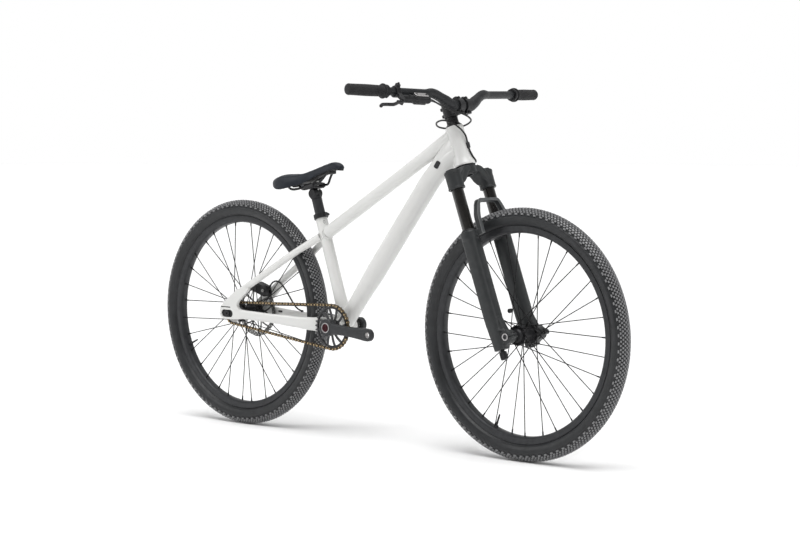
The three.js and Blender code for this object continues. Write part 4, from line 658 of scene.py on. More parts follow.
def dressed(made, finish, body, replaces=None):
    skin, slot = finishes[finish]
    made.data.materials.clear()
    made.data.materials.append(skin)
    if body:
        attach(made, body)
    if replaces:
        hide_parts(replaces)
    return made


def piece(name, parts, finish, body, replaces=None, place=Matrix(), bevel=0.0, crease=38):
    made = object_of(name, parts, place, crease)
    if bevel:
        add_bevel(made, bevel, 2, crease).harden_normals = True
    return dressed(made, finish, body, replaces)


def cut(made, parts, place):
    cutter = object_of("cutter", parts, place)
    step = made.modifiers.new("cut", "BOOLEAN")
    step.operation = "DIFFERENCE"
    step.solver = "EXACT"
    step.object = cutter
    settle(made)
    bpy.data.objects.remove(cutter)


def cast(name, parts, finish, body, replaces, place, voxel, rounds, cuts=(), crease=50):
    """A casting: overlapping shapes run together, then cut one cutter at a time."""
    made = object_of(name, parts, place)
    melt(made, voxel, rounds)
    for cutter in cuts:
        cut(made, cutter, place)
    shade_by_angle(made, crease)
    return dressed(made, finish, body, replaces)


# Hoses, with the points of the CAD routes in metres
hose_radius = 0.0025
brake_hose_route = [
    (0.3366, -0.1499, 0.9807), (0.3374, -0.143, 0.9802), (0.337, -0.126, 0.9755), (0.334, -0.095, 0.966),
    (0.338, -0.062, 0.956), (0.348, -0.03, 0.947), (0.349, -0.002, 0.938), (0.337, 0.024, 0.927),
    (0.301, 0.039, 0.914), (0.264, 0.032, 0.907), (0.248, 0.01, 0.907), (0.246, -0.012, 0.912),
    (0.261, -0.033, 0.922), (0.295, -0.044, 0.928), (0.323, -0.04, 0.921), (0.337, -0.022, 0.905),
    (0.34, -0.004, 0.888), (0.343, 0.003, 0.865), (0.35, 0.003, 0.846), (0.355, 0.01, 0.83),
    (0.352, 0.028, 0.815), (0.327, 0.0385, 0.806), (0.299, 0.036, 0.804), (0.281, 0.0316, 0.804),
    (0.269, 0.0289, 0.804),
]
caliper_hose_route = [
    (-0.4907, 0.05, 0.4197), (-0.484, 0.0505, 0.427), (-0.474, 0.051, 0.437), (-0.459, 0.0515, 0.442),
    (-0.44, 0.052, 0.436), (-0.422, 0.053, 0.419), (-0.405, 0.054, 0.398), (-0.388, 0.0545, 0.377),
    (-0.371, 0.055, 0.362), (-0.352, 0.0552, 0.355),
]


def hose_piece(name, route, node):
    line = spline(vectors(route, MM), 6)
    made = object_of(name, [tube(line, hose_radius / MM, 12)])
    length = sum((two - one).length for one, two in zip(line, line[1:])) * MM
    dressed(made, "hose", None, node)
    return made, [list(p * MM) for p in line], length


def make_hoses():
    main, path, length = hose_piece("brake_hose_line", brake_hose_route, "brake_hose")
    clip_place = Vector((0.3445, 0.003, 0.860)) / MM
    clip = object_of("hose_clip", [rounded_box(8.5, 8, 17, soft=2.2)], aimed(clip_place, (0.30, 0, -0.95)))
    dressed(clip, "black", None)
    for soft in (main, clip):
        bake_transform(soft)
    rear, path, length = hose_piece("caliper_hose_line", caliper_hose_route, "caliper_hose")
    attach(rear, "frame")
    grommets = []
    for route in (brake_hose_route, caliper_hose_route):
        end, before = Vector(route[-1]), Vector(route[-2])
        collar = hoop([(2.6, -3), (4.1, -3), (3.9, 0.8), (3.1, 2.4), (2.6, 2.4)], 0.4, 32)
        grommets += moved([collar], aimed(end / MM, before - end))
    piece("hose_grommets", grommets, "plastic", "frame")


# Frame tubes and their welds
shell_radius, shell_half = 22.5, 36.5
weld_radius = 2.3
stay_root = 280
stay_side = 72
seat_stay_ahead, seat_stay_rise = 45, 64.5
seat_stay_tall = 10.2
head_bore = [disc(23.2, fork_length - 20, head_top + 20, 0, 64, "z")]


def seat_point(height):
    return seat_foot + seat_up * height


def steer_point(forward, height):
    return steer_foot + steer_forward * forward + steer_up * height


def weld(ring, direction, target):
    """A bead where lines from a tube's ring meet the tube that it is welded to."""
    tree = BVHTree.FromObject(target, bpy.context.evaluated_depsgraph_get())
    hits = [tree.ray_cast(point * MM, direction)[0] for point in ring]
    line = [hit / MM for hit in hits if hit is not None]
    if len(line) < 0.7 * len(ring):
        return []
    line = evenly(line + line[:1], 160)[:-1]
    rings = rings_along(line, weld_radius, 10, closed=True)
    for index, (centre, around) in enumerate(zip(line, rings)):
        swell = 1 + 0.07 * math.sin(index * TURN / 4)
        rings[index] = [centre + (point - centre) * swell for point in around]
    return [loft(rings, True)]


def bored(name, shape, replaces=None):
    """A frame tube that ends inside the head tube, with the head tube's bore cut out of it."""
    made = piece(name, [shape], "paint", "frame", replaces)
    cut(made, head_bore, STEER)
    shade_by_angle(made, 38)
    return made


def make_stays(seat_tube, shell):
    beads = []
    for name, side in SIDES:
        root = seat_point(stay_root) + LEFT * side * 11
        tip = rear_axle + Vector((seat_stay_ahead, side * stay_side, seat_stay_rise))
        bend = tip.lerp(root, 0.72)
        bend.y = side * 39
        line = evenly(spline([tip, tip.lerp(bend, 0.4), bend, root], 14), 60)
        sizes = [(0, 8, seat_stay_tall), (0.75, 8, seat_stay_tall), (0.9, 8, 11), (1, 8, 11)]
        rings = rings_along(line, sizes, 36, LEFT, 2.5)
        piece(f"seat_stay_{name}_tube", [loft(rings[3:-2])], "paint", "frame", f"seat_stay_{name}")
        beads += weld(rings[-12], (line[-1] - line[-6]).normalized(), seat_tube)
        root = bracket + Vector((-10, side * 24, 4))
        waist = bracket + Vector((-92, side * 42, 4))
        tip = rear_axle + Vector((62, side * stay_side, 0))
        line = evenly(spline([root, waist, waist.lerp(tip, 0.5), tip], 14), 60)
        heights = ((0, 22), (0.12, 22), (0.24, 19.5), (0.4, 16), (0.7, 13.6), (1, 13.6))
        rings = rings_along(line, [(share, 7.2, tall) for share, tall in heights], 44, LEFT, 4.0)
        piece(f"chain_stay_{name}_tube", [loft(rings[1:])], "paint", "frame", f"chain_stay_{name}")
        beads += weld(rings[10], (line[0] - line[10]).normalized(), shell)
    return beads


def make_frame():
    head = [
        (22.4, fork_length), (31, fork_length), (31, fork_length + 4), (28.2, fork_length + 13),
        (25.6, fork_length + 26), (25, fork_length + 40), (24.6, head_top - 40), (24.8, head_top - 22),
        (26, head_top - 10), (26, head_top), (22.4, head_top),
    ]
    head_tube = piece("head_tube_shell", [hoop(head, 3.2, 72, steps=4)], "paint", "frame", "head_tube", STEER)
    seat = [(15.8, 18), (19.5, 18), (19.3, 60), (17.9, 116), (17.5, 150), (17.5, 341), (15.8, 341)]
    seat_tube = piece("seat_tube_shell", [hoop(seat, 1.0, 64)], "paint", "frame", "seat_tube", SEAT)
    shell = piece("bracket_shell", [washer(18.6, shell_radius, -shell_half, shell_half, 0.7, 64)], "paint",
                  "frame", "bottom_bracket_shell", DRIVE)

    seat_end, head_end = seat_point(stay_root + 1), steer_point(0, fork_length + 95)
    along = (head_end - seat_end).normalized()
    line = evenly([seat_end + along * 15, head_end - along * 2], 50)
    top_sizes = [(0, 18.5, 18.5), (0.72, 18.5, 18.5), (0.93, 22, 20.5), (0.96, 22, 20.5), (1, 20.5, 20)]
    rings = rings_along(line, top_sizes, 56, LEFT)
    bored("top_tube_shell", loft(rings), "top_tube")
    beads = weld(rings[-8], along, head_tube) + weld(rings[8], -along, seat_tube)

    _, way = leaning(52)
    bend_start, end = bracket + way * 533, steer_point(0, fork_length + 50)
    bend = quadratic(bend_start, bend_start + way * 60, end, 24)
    line = evenly([bracket + way * 18, bend_start, *bend[1:]], 90)
    down_sizes = [(0, 26, 24), (0.10, 26, 24), (0.30, 28.5, 28.5), (0.78, 28.5, 28.5), (0.86, 28, 28.5),
                  (0.94, 26.6, 26.5), (0.965, 25.6, 26.5), (1, 23.2, 26)]
    rings = rings_along(line, down_sizes, 64, LEFT)
    down_tube = bored("down_tube_shell", loft(rings), "down_tube")
    beads += weld(rings[-8], (line[-1] - line[-2]).normalized(), head_tube)
    beads += weld(rings[8], -way, shell)

    near_head = [point for point in line if (point - end).length < 125]
    spine = []
    for index, point in enumerate(near_head):
        share = index / (len(near_head) - 1)
        spine.append(point + steer_up * (1 + 15 * share ** 1.5))
    gusset_sizes = [(0, 26.5, 25.5), (0.5, 26, 30), (0.8, 25, 36), (1, 22.6, 38)]
    bored("head_gusset", tube(spine, gusset_sizes, 56, LEFT, 2.3))
    beads += make_stays(seat_tube, shell)
    piece("frame_welds", beads, "paint", "frame")
    return down_tube, seat_tube


def hit_on(target, start, direction):
    tree = BVHTree.FromObject(target, bpy.context.evaluated_depsgraph_get())
    place, normal = tree.ray_cast(Vector(start) * MM, Vector(direction))[:2]
    return place / MM, normal


def make_frame_trim(down_tube, seat_tube):
    """The hose ports of the down tube and the relief slot of the seat tube."""
    along = Vector((0.62, 0, 0.78))
    plugs = []
    for side in (-1, 1):
        place, normal = hit_on(down_tube, (258, side * 120, 805), (0, -side, 0))
        outline = rounded([(-13, -7), (10, -8), (13, 7), (-10, 8)], 5, 6)
        plugs += moved([plate(outline, -1.6, 1.1)], placed(place, along, normal, along.cross(normal)))
    piece("port_plugs", plugs, "plastic", "frame", bevel=0.3)
    away = Vector((60, -30, 0))
    place, normal = hit_on(seat_tube, seat_point(322) + away, (-away).normalized())
    # The slot is not cut: a black plate on the tube's face, with a black floor, is painted shade for the dark
    # inside of the slot.
    slit = plate(slot_outline(2.2, 2.6), -0.6, 0.25, [slot_outline(1.9, 1.9)], "y", -0.4)
    way = placed(place, seat_up, normal, seat_up.cross(normal))
    piece("seat_tube_relief", moved([slit], way), "plastic", "frame")


# Saddle and seat post
saddle_pivot = 409
saddle_up, saddle_forward = leaning(9)
SADDLE = placed(seat_point(saddle_pivot), saddle_forward, LEFT, saddle_up)
rail_height = 22

# At shares of the saddle's length from tail to nose: its half width, top and middle thickness as shares, and
# how far its sides hang below its top, in millimetres
saddle_shares = [
    (0.00, 0.56, 0.75, 0.50, 12), (0.02, 0.72, 0.80, 0.80, 22), (0.06, 0.88, 0.85, 1.00, 36),
    (0.13, 1.00, 0.89, 1.00, 47), (0.21, 0.985, 0.87, 1.00, 49), (0.30, 0.86, 0.80, 1.00, 43),
    (0.41, 0.60, 0.775, 0.95, 38), (0.52, 0.44, 0.84, 0.90, 33), (0.64, 0.35, 0.92, 0.84, 27),
    (0.76, 0.31, 1.00, 0.80, 25), (0.87, 0.28, 1.04, 0.80, 25), (0.94, 0.235, 0.97, 0.74, 21),
    (0.98, 0.17, 0.86, 0.60, 15), (1.00, 0.09, 0.76, 0.36, 9),
]
saddle_back, saddle_front, saddle_widest = 130, 123, 67
saddle_long = saddle_back + saddle_front
saddle_rise, saddle_height, saddle_thick = 22, 56, 26
saddle_rows = 84


def make_clamp():
    clamp = [rounded_box(38, 40, 8, (0, 0, 27.5), 4, 1.6)]
    for side in (-1, 1):
        clamp += moved([disc(7, -19, 19, 1.6, 28, "x")], at(0, side * 22, 23))
    clamp.append(rounded_box(34, 50, 6.4, (0, 0, 17.4), 3, 1.4))
    piece("rail_clamp_top", clamp, "black", "saddle", "rail_clamp", SADDLE, 0.4)
    bolts = []
    for x in (-13, 13):
        bolts += moved([*bolt(4, 5, 4), disc(2.6, -23, 1, 0, 20, "z")], at(x, 0, 31))
    piece("clamp_bolts", bolts, "steel", "saddle", None, SADDLE, 0.25)


def make_seat_post():
    fit = 15.45
    ring = [(17.8, 331), (21.5, 331), (21.5, 346), (15.9, 346), (15.9, 341.6), (17.8, 341.6)]
    collar = [hoop(ring, 0.9, 56), rounded_box(8, 11.4, 8.6, (25, 0, 336.6), 1.6),
              rounded_box(4, 2, 9.4, (22, 0, 337), 0.6, 0.2)]
    piece("seat_collar_ring", collar, "black", "frame", "seat_collar", SEAT)
    screw = moved(bolt(3.6, 3.4, 3), at(26, -5.6, 336.4), turned(90, "X"))
    screw += moved([disc(3.8, -6.4, -5.2, 0, 24)], at(26, 12, 336.4))
    piece("collar_bolt", screw, "black", "frame", None, SEAT, 0.25)
    shaft = [(0, 192), (12.8, 192), (15.3, 192), (fit, 194), (fit, 396), (13.6, 400), (0, 404)]
    piece("seat_post_shaft", [knob(shaft, 1.4, 56)], "crank", "post", None, SEAT)
    neck = [(fit - 0.3, 384), (fit + 0.2, 392), (14, 402), (0, 404), (0, 384), (fit - 0.3, 384)]
    barrel = moved([disc(14.6, -16.6, 16.6, 2.4)], at(0, 0, saddle_pivot))
    head = [rounded_box(25, 30, 13, (0, 0, 401), 5, 2), *barrel, lathe(neck)]
    cast("seat_post_head", head, "black", "post", "seat_post", SEAT, 1.0, 6)


def saddle_station(share):
    """The saddle's width, top, thickness and side depth at a share of its length, on smooth curves."""
    last = len(saddle_shares) - 1
    index = next((i for i in range(last) if share <= saddle_shares[i + 1][0]), last - 1)
    low, high = saddle_shares[index], saddle_shares[index + 1]
    before, after = saddle_shares[max(index - 1, 0)], saddle_shares[min(index + 2, last)]
    span = high[0] - low[0]
    t = (share - low[0]) / span
    made = []
    for column in range(1, 5):
        leave = (high[column] - before[column]) / (high[0] - before[0]) * span
        arrive = (after[column] - low[column]) / (after[0] - low[0]) * span
        made.append((2 * t ** 3 - 3 * t ** 2 + 1) * low[column] + (t ** 3 - 2 * t ** 2 + t) * leave
                    + (3 * t ** 2 - 2 * t ** 3) * high[column] + (t ** 3 - t ** 2) * arrive)
    return made


def saddle_x(share):
    return share * saddle_long - saddle_back


def saddle_skin_point(share, turn):
    """A point of the cushion's skin; turn 0 is the left edge, 90 degrees the top, 270 the underside."""
    wide, top, thick, side_depth = saddle_station(share)
    crest = saddle_rise + saddle_height * top
    edge = crest - side_depth + 3
    x, rise = saddle_x(share), math.sin(turn)
    y = saddle_widest * wide * bowed(math.cos(turn), 0.8)
    dip = 2.2 * math.exp(-(y / 9) ** 2) * max(0, 1 - abs(share - 0.42) / 0.34)
    if rise >= 0:
        return Vector((x, y, edge + (crest - edge) * rise ** 0.78 - dip))
    depth = abs(rise)
    floor = min(crest - saddle_thick * thick, crest - 6)
    return Vector((x, y * (1 - 0.10 * depth ** 0.3),
                   edge - 3 * depth ** 0.3 * (1 - depth) + (floor - edge) * depth ** 1.2))


def base_floor(x):
    """Where the cushion's underside ends and the hard base begins."""
    _, top, thick, _ = saddle_station((x + saddle_back) / saddle_long)
    return saddle_rise + saddle_height * top - saddle_thick * thick - 1.2


def make_cushion():
    shares = [0.5 - 0.5 * math.cos(math.pi * row / saddle_rows) for row in range(saddle_rows + 1)]
    rings = [[saddle_skin_point(share, turn) for turn in turns(72)] for share in shares]
    cushion = object_of("saddle_cover", [loft(rings)], SADDLE)
    melt(cushion, 2.2, 5)
    for face in cushion.data.polygons:
        face.use_smooth = True
    dressed(cushion, "cover", "saddle", "saddle_cushion")
    make_seams(cushion)
    under = []
    for eased in shares:
        share = 0.03 + 0.94 * eased
        wide, top, thick, _ = saddle_station(share)
        crest, half = saddle_rise + saddle_height * top, saddle_widest * wide * 0.84
        middle = crest - saddle_thick * thick - 1.2
        under.append([Vector((saddle_x(share), half * bowed(math.cos(turn), 0.6),
                              middle + 2.6 * bowed(math.sin(turn), 0.6))) for turn in turns(28)])
    parts = [loft(under)]
    for side in (-1, 1):
        route = [(-100, side * 40), (-60, side * 42), (-20, side * 24), (30, side * 14), (80, side * 11)]
        line = [Vector((x, y, base_floor(x) - 2.6)) for x, y in route]
        parts.append(tube(evenly(spline(line, 8), 40), [(0, 2.2, 1.8), (1, 1.6, 1.6)], 12, None, 2.6))
    sockets = ((-104, 25.5, 15, 15, 13), (-104, -25.5, 15, 15, 13), (72, 0, 19, 30, 11.5))
    for x, y, long, wide, tall in sockets:
        parts.append(rounded_box(long, wide, tall, (x, y, base_floor(x) - 4.2), 4, 1.4))
    piece("saddle_base_shell", parts, "plastic", "saddle", "saddle_base", SADDLE)


def make_seams(cushion):
    """Two seams on the cushion's top, each with a row of stitches."""
    tree = BVHTree.FromObject(cushion, bpy.context.evaluated_depsgraph_get())
    seams = []
    for side in (-1, 1):
        line = []
        for step in range(61):
            share = 0.045 + 0.885 * step / 60
            wide = saddle_station(share)[0]
            y = side * saddle_widest * wide * (0.80 - 0.10 * math.sin(math.pi * step / 60))
            hit = tree.ray_cast(SADDLE @ Vector((saddle_x(share), y, 110)) * MM, -saddle_up)[0]
            if hit is not None:
                line.append(hit / MM)
        path = evenly(line, 150)
        seams.append(tube(path, 0.55, 8))
        for index in range(2, 148, 2):
            one, two = path[index], path[index + 1]
            stitch = [one + saddle_up * 0.55, one.lerp(two, 0.5) + saddle_up * 0.75, two + saddle_up * 0.55]
            seams.append(tube(stitch, 0.34, 6))
    piece("cover_seams", seams, "cover", "saddle")


def make_rails():
    tail, nose = base_floor(-104) - 3.8, base_floor(70) - 3.8
    half = [
        (-104, 25.5, tail), (-90, 25, (tail + rail_height) / 2 + 6), (-77.5, 23, 25.5),
        (-66, 22, rail_height), (-22.5, 22, rail_height), (22.5, 22, rail_height), (34, 22, 23),
        (52, 15.5, (rail_height + nose) / 2), (70, 9, nose),
    ]
    route = vectors(half) + [Vector((74.5, 0, nose))] + across_plane(half)
    piece("saddle_rail_loop", [tube(evenly(spline(route, 12), 220), 3.5, 20)], "black", "saddle",
          "saddle_rails", SADDLE)


# Dropouts and the rear axle
dropout_face = 77.5
dropout_thick = 10
caliper_turn, caliper_reach = 73, 75
rotor_place = 52.1


def dropout_outline():
    """The right dropout seen from its side, with arms that take in the ends of both stays."""
    root = seat_point(stay_root)
    tip = Vector((seat_stay_ahead, seat_stay_rise))
    slope = Vector((root.x - rear_axle.x - tip.x, root.z - rear_axle.z - tip.y)).normalized()
    rise = Vector((-slope.y, slope.x)) * seat_stay_tall
    end = tip + slope * 9
    low_end, high_end = end - rise, end + rise
    back_top = 38 + rise.y - (77 + rise.x) * slope.y / slope.x
    return [
        (-32, -6), (-27, -15), (-18, -18), (20, -17), (74, -13.6), (74, 13.4), (50, 14.5), (41, 27), (48, 39),
        (low_end.x + 34, low_end.y + 15), (low_end.x + 36, low_end.y + 22), (high_end.x, high_end.y),
        (-20, back_top + 27), (-31, back_top + 12),
    ]


def caliper_place():
    """The caliper's frame: its origin on the rotor's rim, X along the rim and Z away from the axle."""
    up, along = leaning(caliper_turn - 90)
    return placed(rear_axle + up * caliper_reach + LEFT * rotor_place, along, LEFT, up)


def make_dropouts():
    outline = rounded(dropout_outline(), 9, 6)
    for name, side in SIDES:
        face = dropout_face * side
        plate_parts = [plate(outline, face - side * dropout_thick, face, [circle(7.9, 32)])]
        made = object_of(f"dropout_{name}_plate", plate_parts, REAR_WHEEL)
        cut(made, [plate(slot_outline(14.2, 11.4, 14), face - side * 5, face + side * 6)], REAR_WHEEL)
        cut(made, [plate(slot_outline(20, 1.6, 6, -6, 19.6), face - side * 1.4, face + side * 3)], REAR_WHEEL)
        add_bevel(made, 1.2, 3, 40)
        settle(made)
        shade_by_angle(made, 38)
        dressed(made, "paint", "frame", None if side > 0 else "dropout_right")
        insert = plate(slot_outline(14.3, 11.5, 14), face - side * 5.4, face - side * 4.2, [circle(8.5, 32)])
        # A black strip on the groove's floor: painted shade that darkens the groove line.
        groove_shade_strip = plate(slot_outline(19.8, 1.5, 6, -6, 19.6), face - side * 1.6, face - side * 0.9)
        piece(f"dropout_{name}_insert", [insert, groove_shade_strip], "plastic", "frame", None, REAR_WHEEL)
    mount = [rounded_box(78, 8.2, 26, (0, 13.8, -11), 7, 1.4)]
    for x in (-30, 30):
        mount += moved([disc(7, 8.6, 17.8, 1.2, 32)], at(x, 0, -10))
    piece("brake_bracket", moved(mount, caliper_place()), "paint", "frame", "dropout_left", bevel=0.4)
    nuts, rod = [], [disc(7.2, -72.8, 72.8, 0, 32)]
    for side in (-1, 1):
        foot, tip, well = side * 72.8, side * 77.2, side * 74.6
        nut = [(0, foot), (8.4, foot), (8.4, tip), (3.4, tip), (3.4, well), (0, well)]
        nuts.append(knob(nut, 0.6, 48, "y"))
        rod.append(washer(7.3, 10.2, side * 57.6, side * 67.1, 0.5, 40))
    piece("rear_axle_rod", rod, "steel", "frame", "rear_axle", REAR_WHEEL)
    piece("rear_axle_bolts", nuts, "black", "frame", None, REAR_WHEEL)


def make_stay_port():
    """The small oval plug on the inner face of the left chain stay."""
    inward = placed(Vector((-450, 60.4, 348.5)), -AHEAD, -LEFT, UP)
    piece("stay_port_plug", moved([plate(slot_outline(6, 2.8), -1, 1.4)], inward), "plastic", "frame")


# Wheels
tyre_radius, tyre_section = 346, 27
tyre_centre = tyre_radius - tyre_section
casing = 25.4
tread_count = 196
block_half_wide, block_height = 2.3, 3.9
tread_rows = (-66, -53, -39.5, -26, -13, 0, 13, 26, 39.5, 53, 66)
spoke_count = 16
spoke_inset = 4.5
spoke_foot = 277
spoke_starts = {"front": TURN * 0.10 / spoke_count, "rear": TURN * 0.31 / spoke_count}
flanges = {"front": (-27, 27), "rear": (-22, 30)}
flange_radius = {"front": 28, "rear": 29}
flange_half, foot_half = 1.7, 2.6
disc_circle = 22


def tyre_casing():
    outer = []
    for degrees in range(-141, 142, 3):
        edge = abs(degrees)
        swell = 0.55 * math.exp(-((edge - 126) / 3.2) ** 2) + 0.3 * math.exp(-((edge - 84) / 5) ** 2)
        size = casing - 2 + swell + 2.4 * min(1, max(0, (edge - 71) / 14))
        outer.append(polar(size, radians(degrees), tyre_centre))
    inner = [polar(22.6, radians(degrees), tyre_centre) for degrees in range(138, -139, -6)]
    bead = [(287.4, 9.6), (287.4, 12.4), (296.2, 12.4)]
    profile = [(r, -y) for r, y in bead] + outer + bead[::-1] + inner
    return lathe(profile + profile[:1], 128, "y")


def tread_block(turn, row, half_long):
    a = radians(row)
    out = Vector((math.cos(a) * math.cos(turn), math.sin(a), math.cos(a) * math.sin(turn)))
    along = Vector((-math.sin(turn), 0, math.cos(turn)))
    across = out.cross(along)
    foot = wheel_point(tyre_centre, turn) + out * (casing - 2.4)
    top = foot + out * block_height
    low = [foot + along * u * half_long + across * v * block_half_wide for u, v in SQUARE]
    high = [top + along * u * half_long * 0.84 + across * v * block_half_wide * 0.82 for u, v in SQUARE]
    return low + high, [[0, 1, 5, 4], [1, 2, 6, 5], [2, 3, 7, 6], [3, 0, 4, 7], [4, 5, 6, 7]]


def make_tyre(end, body, place):
    piece(f"{end}_tyre_casing", [tyre_casing()], "tyre", body, f"{end}_tyre", place, crease=50)
    blocks = []
    for row_index, row in enumerate(tread_rows):
        count, half_long = (tread_count // 2, 4.2) if abs(row) > 60 else (tread_count, 3.1)
        for index in range(count):
            turn = TURN / count * (index + 0.5 * (row_index % 2))
            blocks.append(tread_block(turn, row, half_long))
    # The blocks take the paler tread rubber, a painted highlight on the knobs.
    piece(f"{end}_tyre_tread", blocks, "tread", body, None, place, crease=25)


def make_rim(end, body, place):
    half = [(277, 8.5), (279, 12.5), (283.5, 16), (297, 16), (297.5, 15.3), (296.7, 13.6), (295.4, 12.7),
            (287.2, 12.7), (286.6, 8), (284.5, 5)]
    half = softened(half, 1.1)
    profile = half + [(r, -y) for r, y in reversed(half)]
    piece(f"{end}_rim_hoop", [lathe(profile + profile[:1], 128, "y")], "crank", body, f"{end}_rim", place,
          crease=34)


def make_spokes(end, body, place):
    """Two flanges of spokes, each spoke crossing three others."""
    wires, nipples = [], []
    nipple = [(0, -2.5), (2.9, -2.5), (2.9, 0.6), (2.2, 1.4), (2.0, 9.5), (1.6, 12), (1.1, 12.6), (0, 12.6)]
    nipple = lathe(nipple, 12)
    head = lathe([(0, -0.6), (1.9, -0.5), (1.9, 0.3), (0, 0.7)], 12)
    for flange in flanges[end]:
        side = math.copysign(1, flange)
        for index in range(spoke_count):
            lean = 1 if index % 2 == 0 else -1
            hub_turn = spoke_starts[end] + TURN * (index + (0.5 if side > 0 else 0)) / spoke_count
            rim_turn = hub_turn + lean * 3 * TURN / spoke_count
            hub = wheel_point(flange_radius[end] - spoke_inset, hub_turn, flange)
            rim = wheel_point(spoke_foot, rim_turn, side * 5 + lean * 1.2)
            out = LEFT * lean
            start, elbow = hub - out * 2.6, hub + out * 1.7
            leave = elbow + out * 0.7 + (rim - elbow).normalized() * 2.4
            bend = quadratic(elbow, elbow + out * 1.1, leave, 4)
            stop = rim + (leave - rim).normalized() * 9
            wires.append(tube([start, *bend, stop], 1.35, 8))
            wires += moved([head], aimed(start, out))
            nipples += moved([nipple], aimed(rim, leave - rim))
    piece(f"{end}_spokes", wires, "spoke", body, None, place, crease=60)
    piece(f"{end}_nipples", nipples, "spoke", body, None, place)


def make_valve(end, body, place, degrees):
    out = wheel_point(1, radians(degrees))
    stem = [(0, -1), (3.2, -1), (3.2, 14), (2.7, 15), (2.7, 31), (2.2, 31.6), (2.2, 37), (1.2, 38), (0, 38)]
    parts = [lathe(stem, 24), washer(3.2, 6.4, 1, 4.4, 0.6, 12, "z")]
    piece(f"{end}_valve", moved(parts, aimed(out * 277.4, -out)), "black", body, None, place)


def hub_parts(end, shell, soft, bore, mount):
    """A hub's shell, its disc mount with six lobes, and its drilled flanges."""
    place, radius, wall = mount
    outline = [polar(radius + 1.4 + 2.2 * math.cos(6 * turn), turn) for turn in turns(96)]
    holes = [circle(2.4, 12, *polar(disc_circle, turn)) for turn in turns(6)]
    parts = [hoop(shell, soft, 64, "y"), plate(outline, place - wall / 2, place + wall / 2, holes)]
    size = flange_radius[end]
    for place, shift in zip(flanges[end], (0, TURN / 2 / spoke_count)):
        starts = turns(spoke_count, spoke_starts[end] + shift)
        holes = [circle(1.5, 10, *polar(size - spoke_inset, turn)) for turn in starts]
        parts.append(plate(circle(size, 64), place - flange_half, place + flange_half, holes))
        parts.append(washer(bore, size - 8.5, place - foot_half, place + foot_half, 0.9))
    return parts


def make_front_hub():
    shell = [
        (10.4, -54.4), (13.6, -54.4), (14.5, -53.2), (14.5, -46), (13.4, -44), (14.6, -34), (19, -30),
        (19, -24), (16.6, -19), (15.4, -8), (15.2, 0), (15.4, 8), (16.6, 19), (19, 24), (19, 30), (16, 34),
        (16, 45), (14.5, 47), (14.5, 53.2), (13.6, 54.4), (10.4, 54.4),
    ]
    parts = hub_parts("front", shell, 2.4, 15, (39, 23.4, 5))
    piece("front_hub_shell", parts, "black", "front_wheel", "front_hub", FRONT_WHEEL, 0.3)
    caps = [washer(10.4, 14.7, side * 50, side * 54.6, 0.7) for side in (-1, 1)]
    piece("front_hub_caps", caps, "crank", "front_wheel", None, FRONT_WHEEL)


def make_rear_hub():
    shell = [
        (7.9, -33.4), (15.4, -33.4), (16, -32.4), (16, -27), (19.5, -25), (19.5, -19.5), (17.6, -16),
        (16.4, -4), (16.4, 12), (17.6, 24), (19.5, 27.5), (19.5, 33), (16, 35.5), (16, 43), (17, 44),
        (20, 44.4), (20, 50.6), (15.4, 50.9), (7.9, 50.9),
    ]
    parts = hub_parts("rear", shell, 2.0, 16, (47.6, 22.4, 6))
    piece("rear_hub_shell", parts, "black", "rear_wheel", "rear_hub", REAR_WHEEL, 0.3)


def make_wheels():
    ends = (("front", "front_wheel", FRONT_WHEEL), ("rear", "rear_wheel", REAR_WHEEL))
    for wheel in ends:
        make_tyre(*wheel)
        make_rim(*wheel)
    make_front_hub()
    make_rear_hub()
    for wheel in ends:
        make_spokes(*wheel)
    for wheel, degrees in zip(ends, (250, 205)):
        make_valve(*wheel, degrees)


# Rear brake
def make_rotor():
    outline, opening = [[polar(radius + 0.9 * math.cos(12 * turn), turn) for turn in turns(180)]
                        for radius in (79.1, 65.4)]
    holes = []
    for turn in turns(36):
        holes += [circle(1.9, 10, *polar(69.4, turn)), circle(1.9, 10, *polar(75.2, turn + TURN / 72))]
    half_thick = 0.9
    parts = [plate(outline, -half_thick, half_thick, [opening, *holes]),
             plate(circle(25.5, 60), -half_thick, half_thick, [circle(16.5, 40)])]
    for turn in turns(6):
        for lean, foot in ((-0.34, 0.14), (0.30, -0.14)):
            start, end = wheel_point(24.4, turn + foot), wheel_point(66.2, turn + lean)
            line = quadratic(start, wheel_point(47, turn + lean * 0.2), end, 12)
            parts.append(flat_bar(line, 2.3, 0.88))
    piece("rear_brake_disc", parts, "rotor", "rear_wheel", "rear_rotor", REAR_WHEEL @ at(0, rotor_place, 0))
    heads = []
    for turn in turns(6):
        way = aimed(wheel_point(disc_circle, turn, rotor_place + half_thick), LEFT)
        heads += moved(bolt(3.5, 1.9, 3.2, 1.2), way)
    piece("rotor_bolts", heads, "black", "rear_wheel", None, REAR_WHEEL, 0.3)


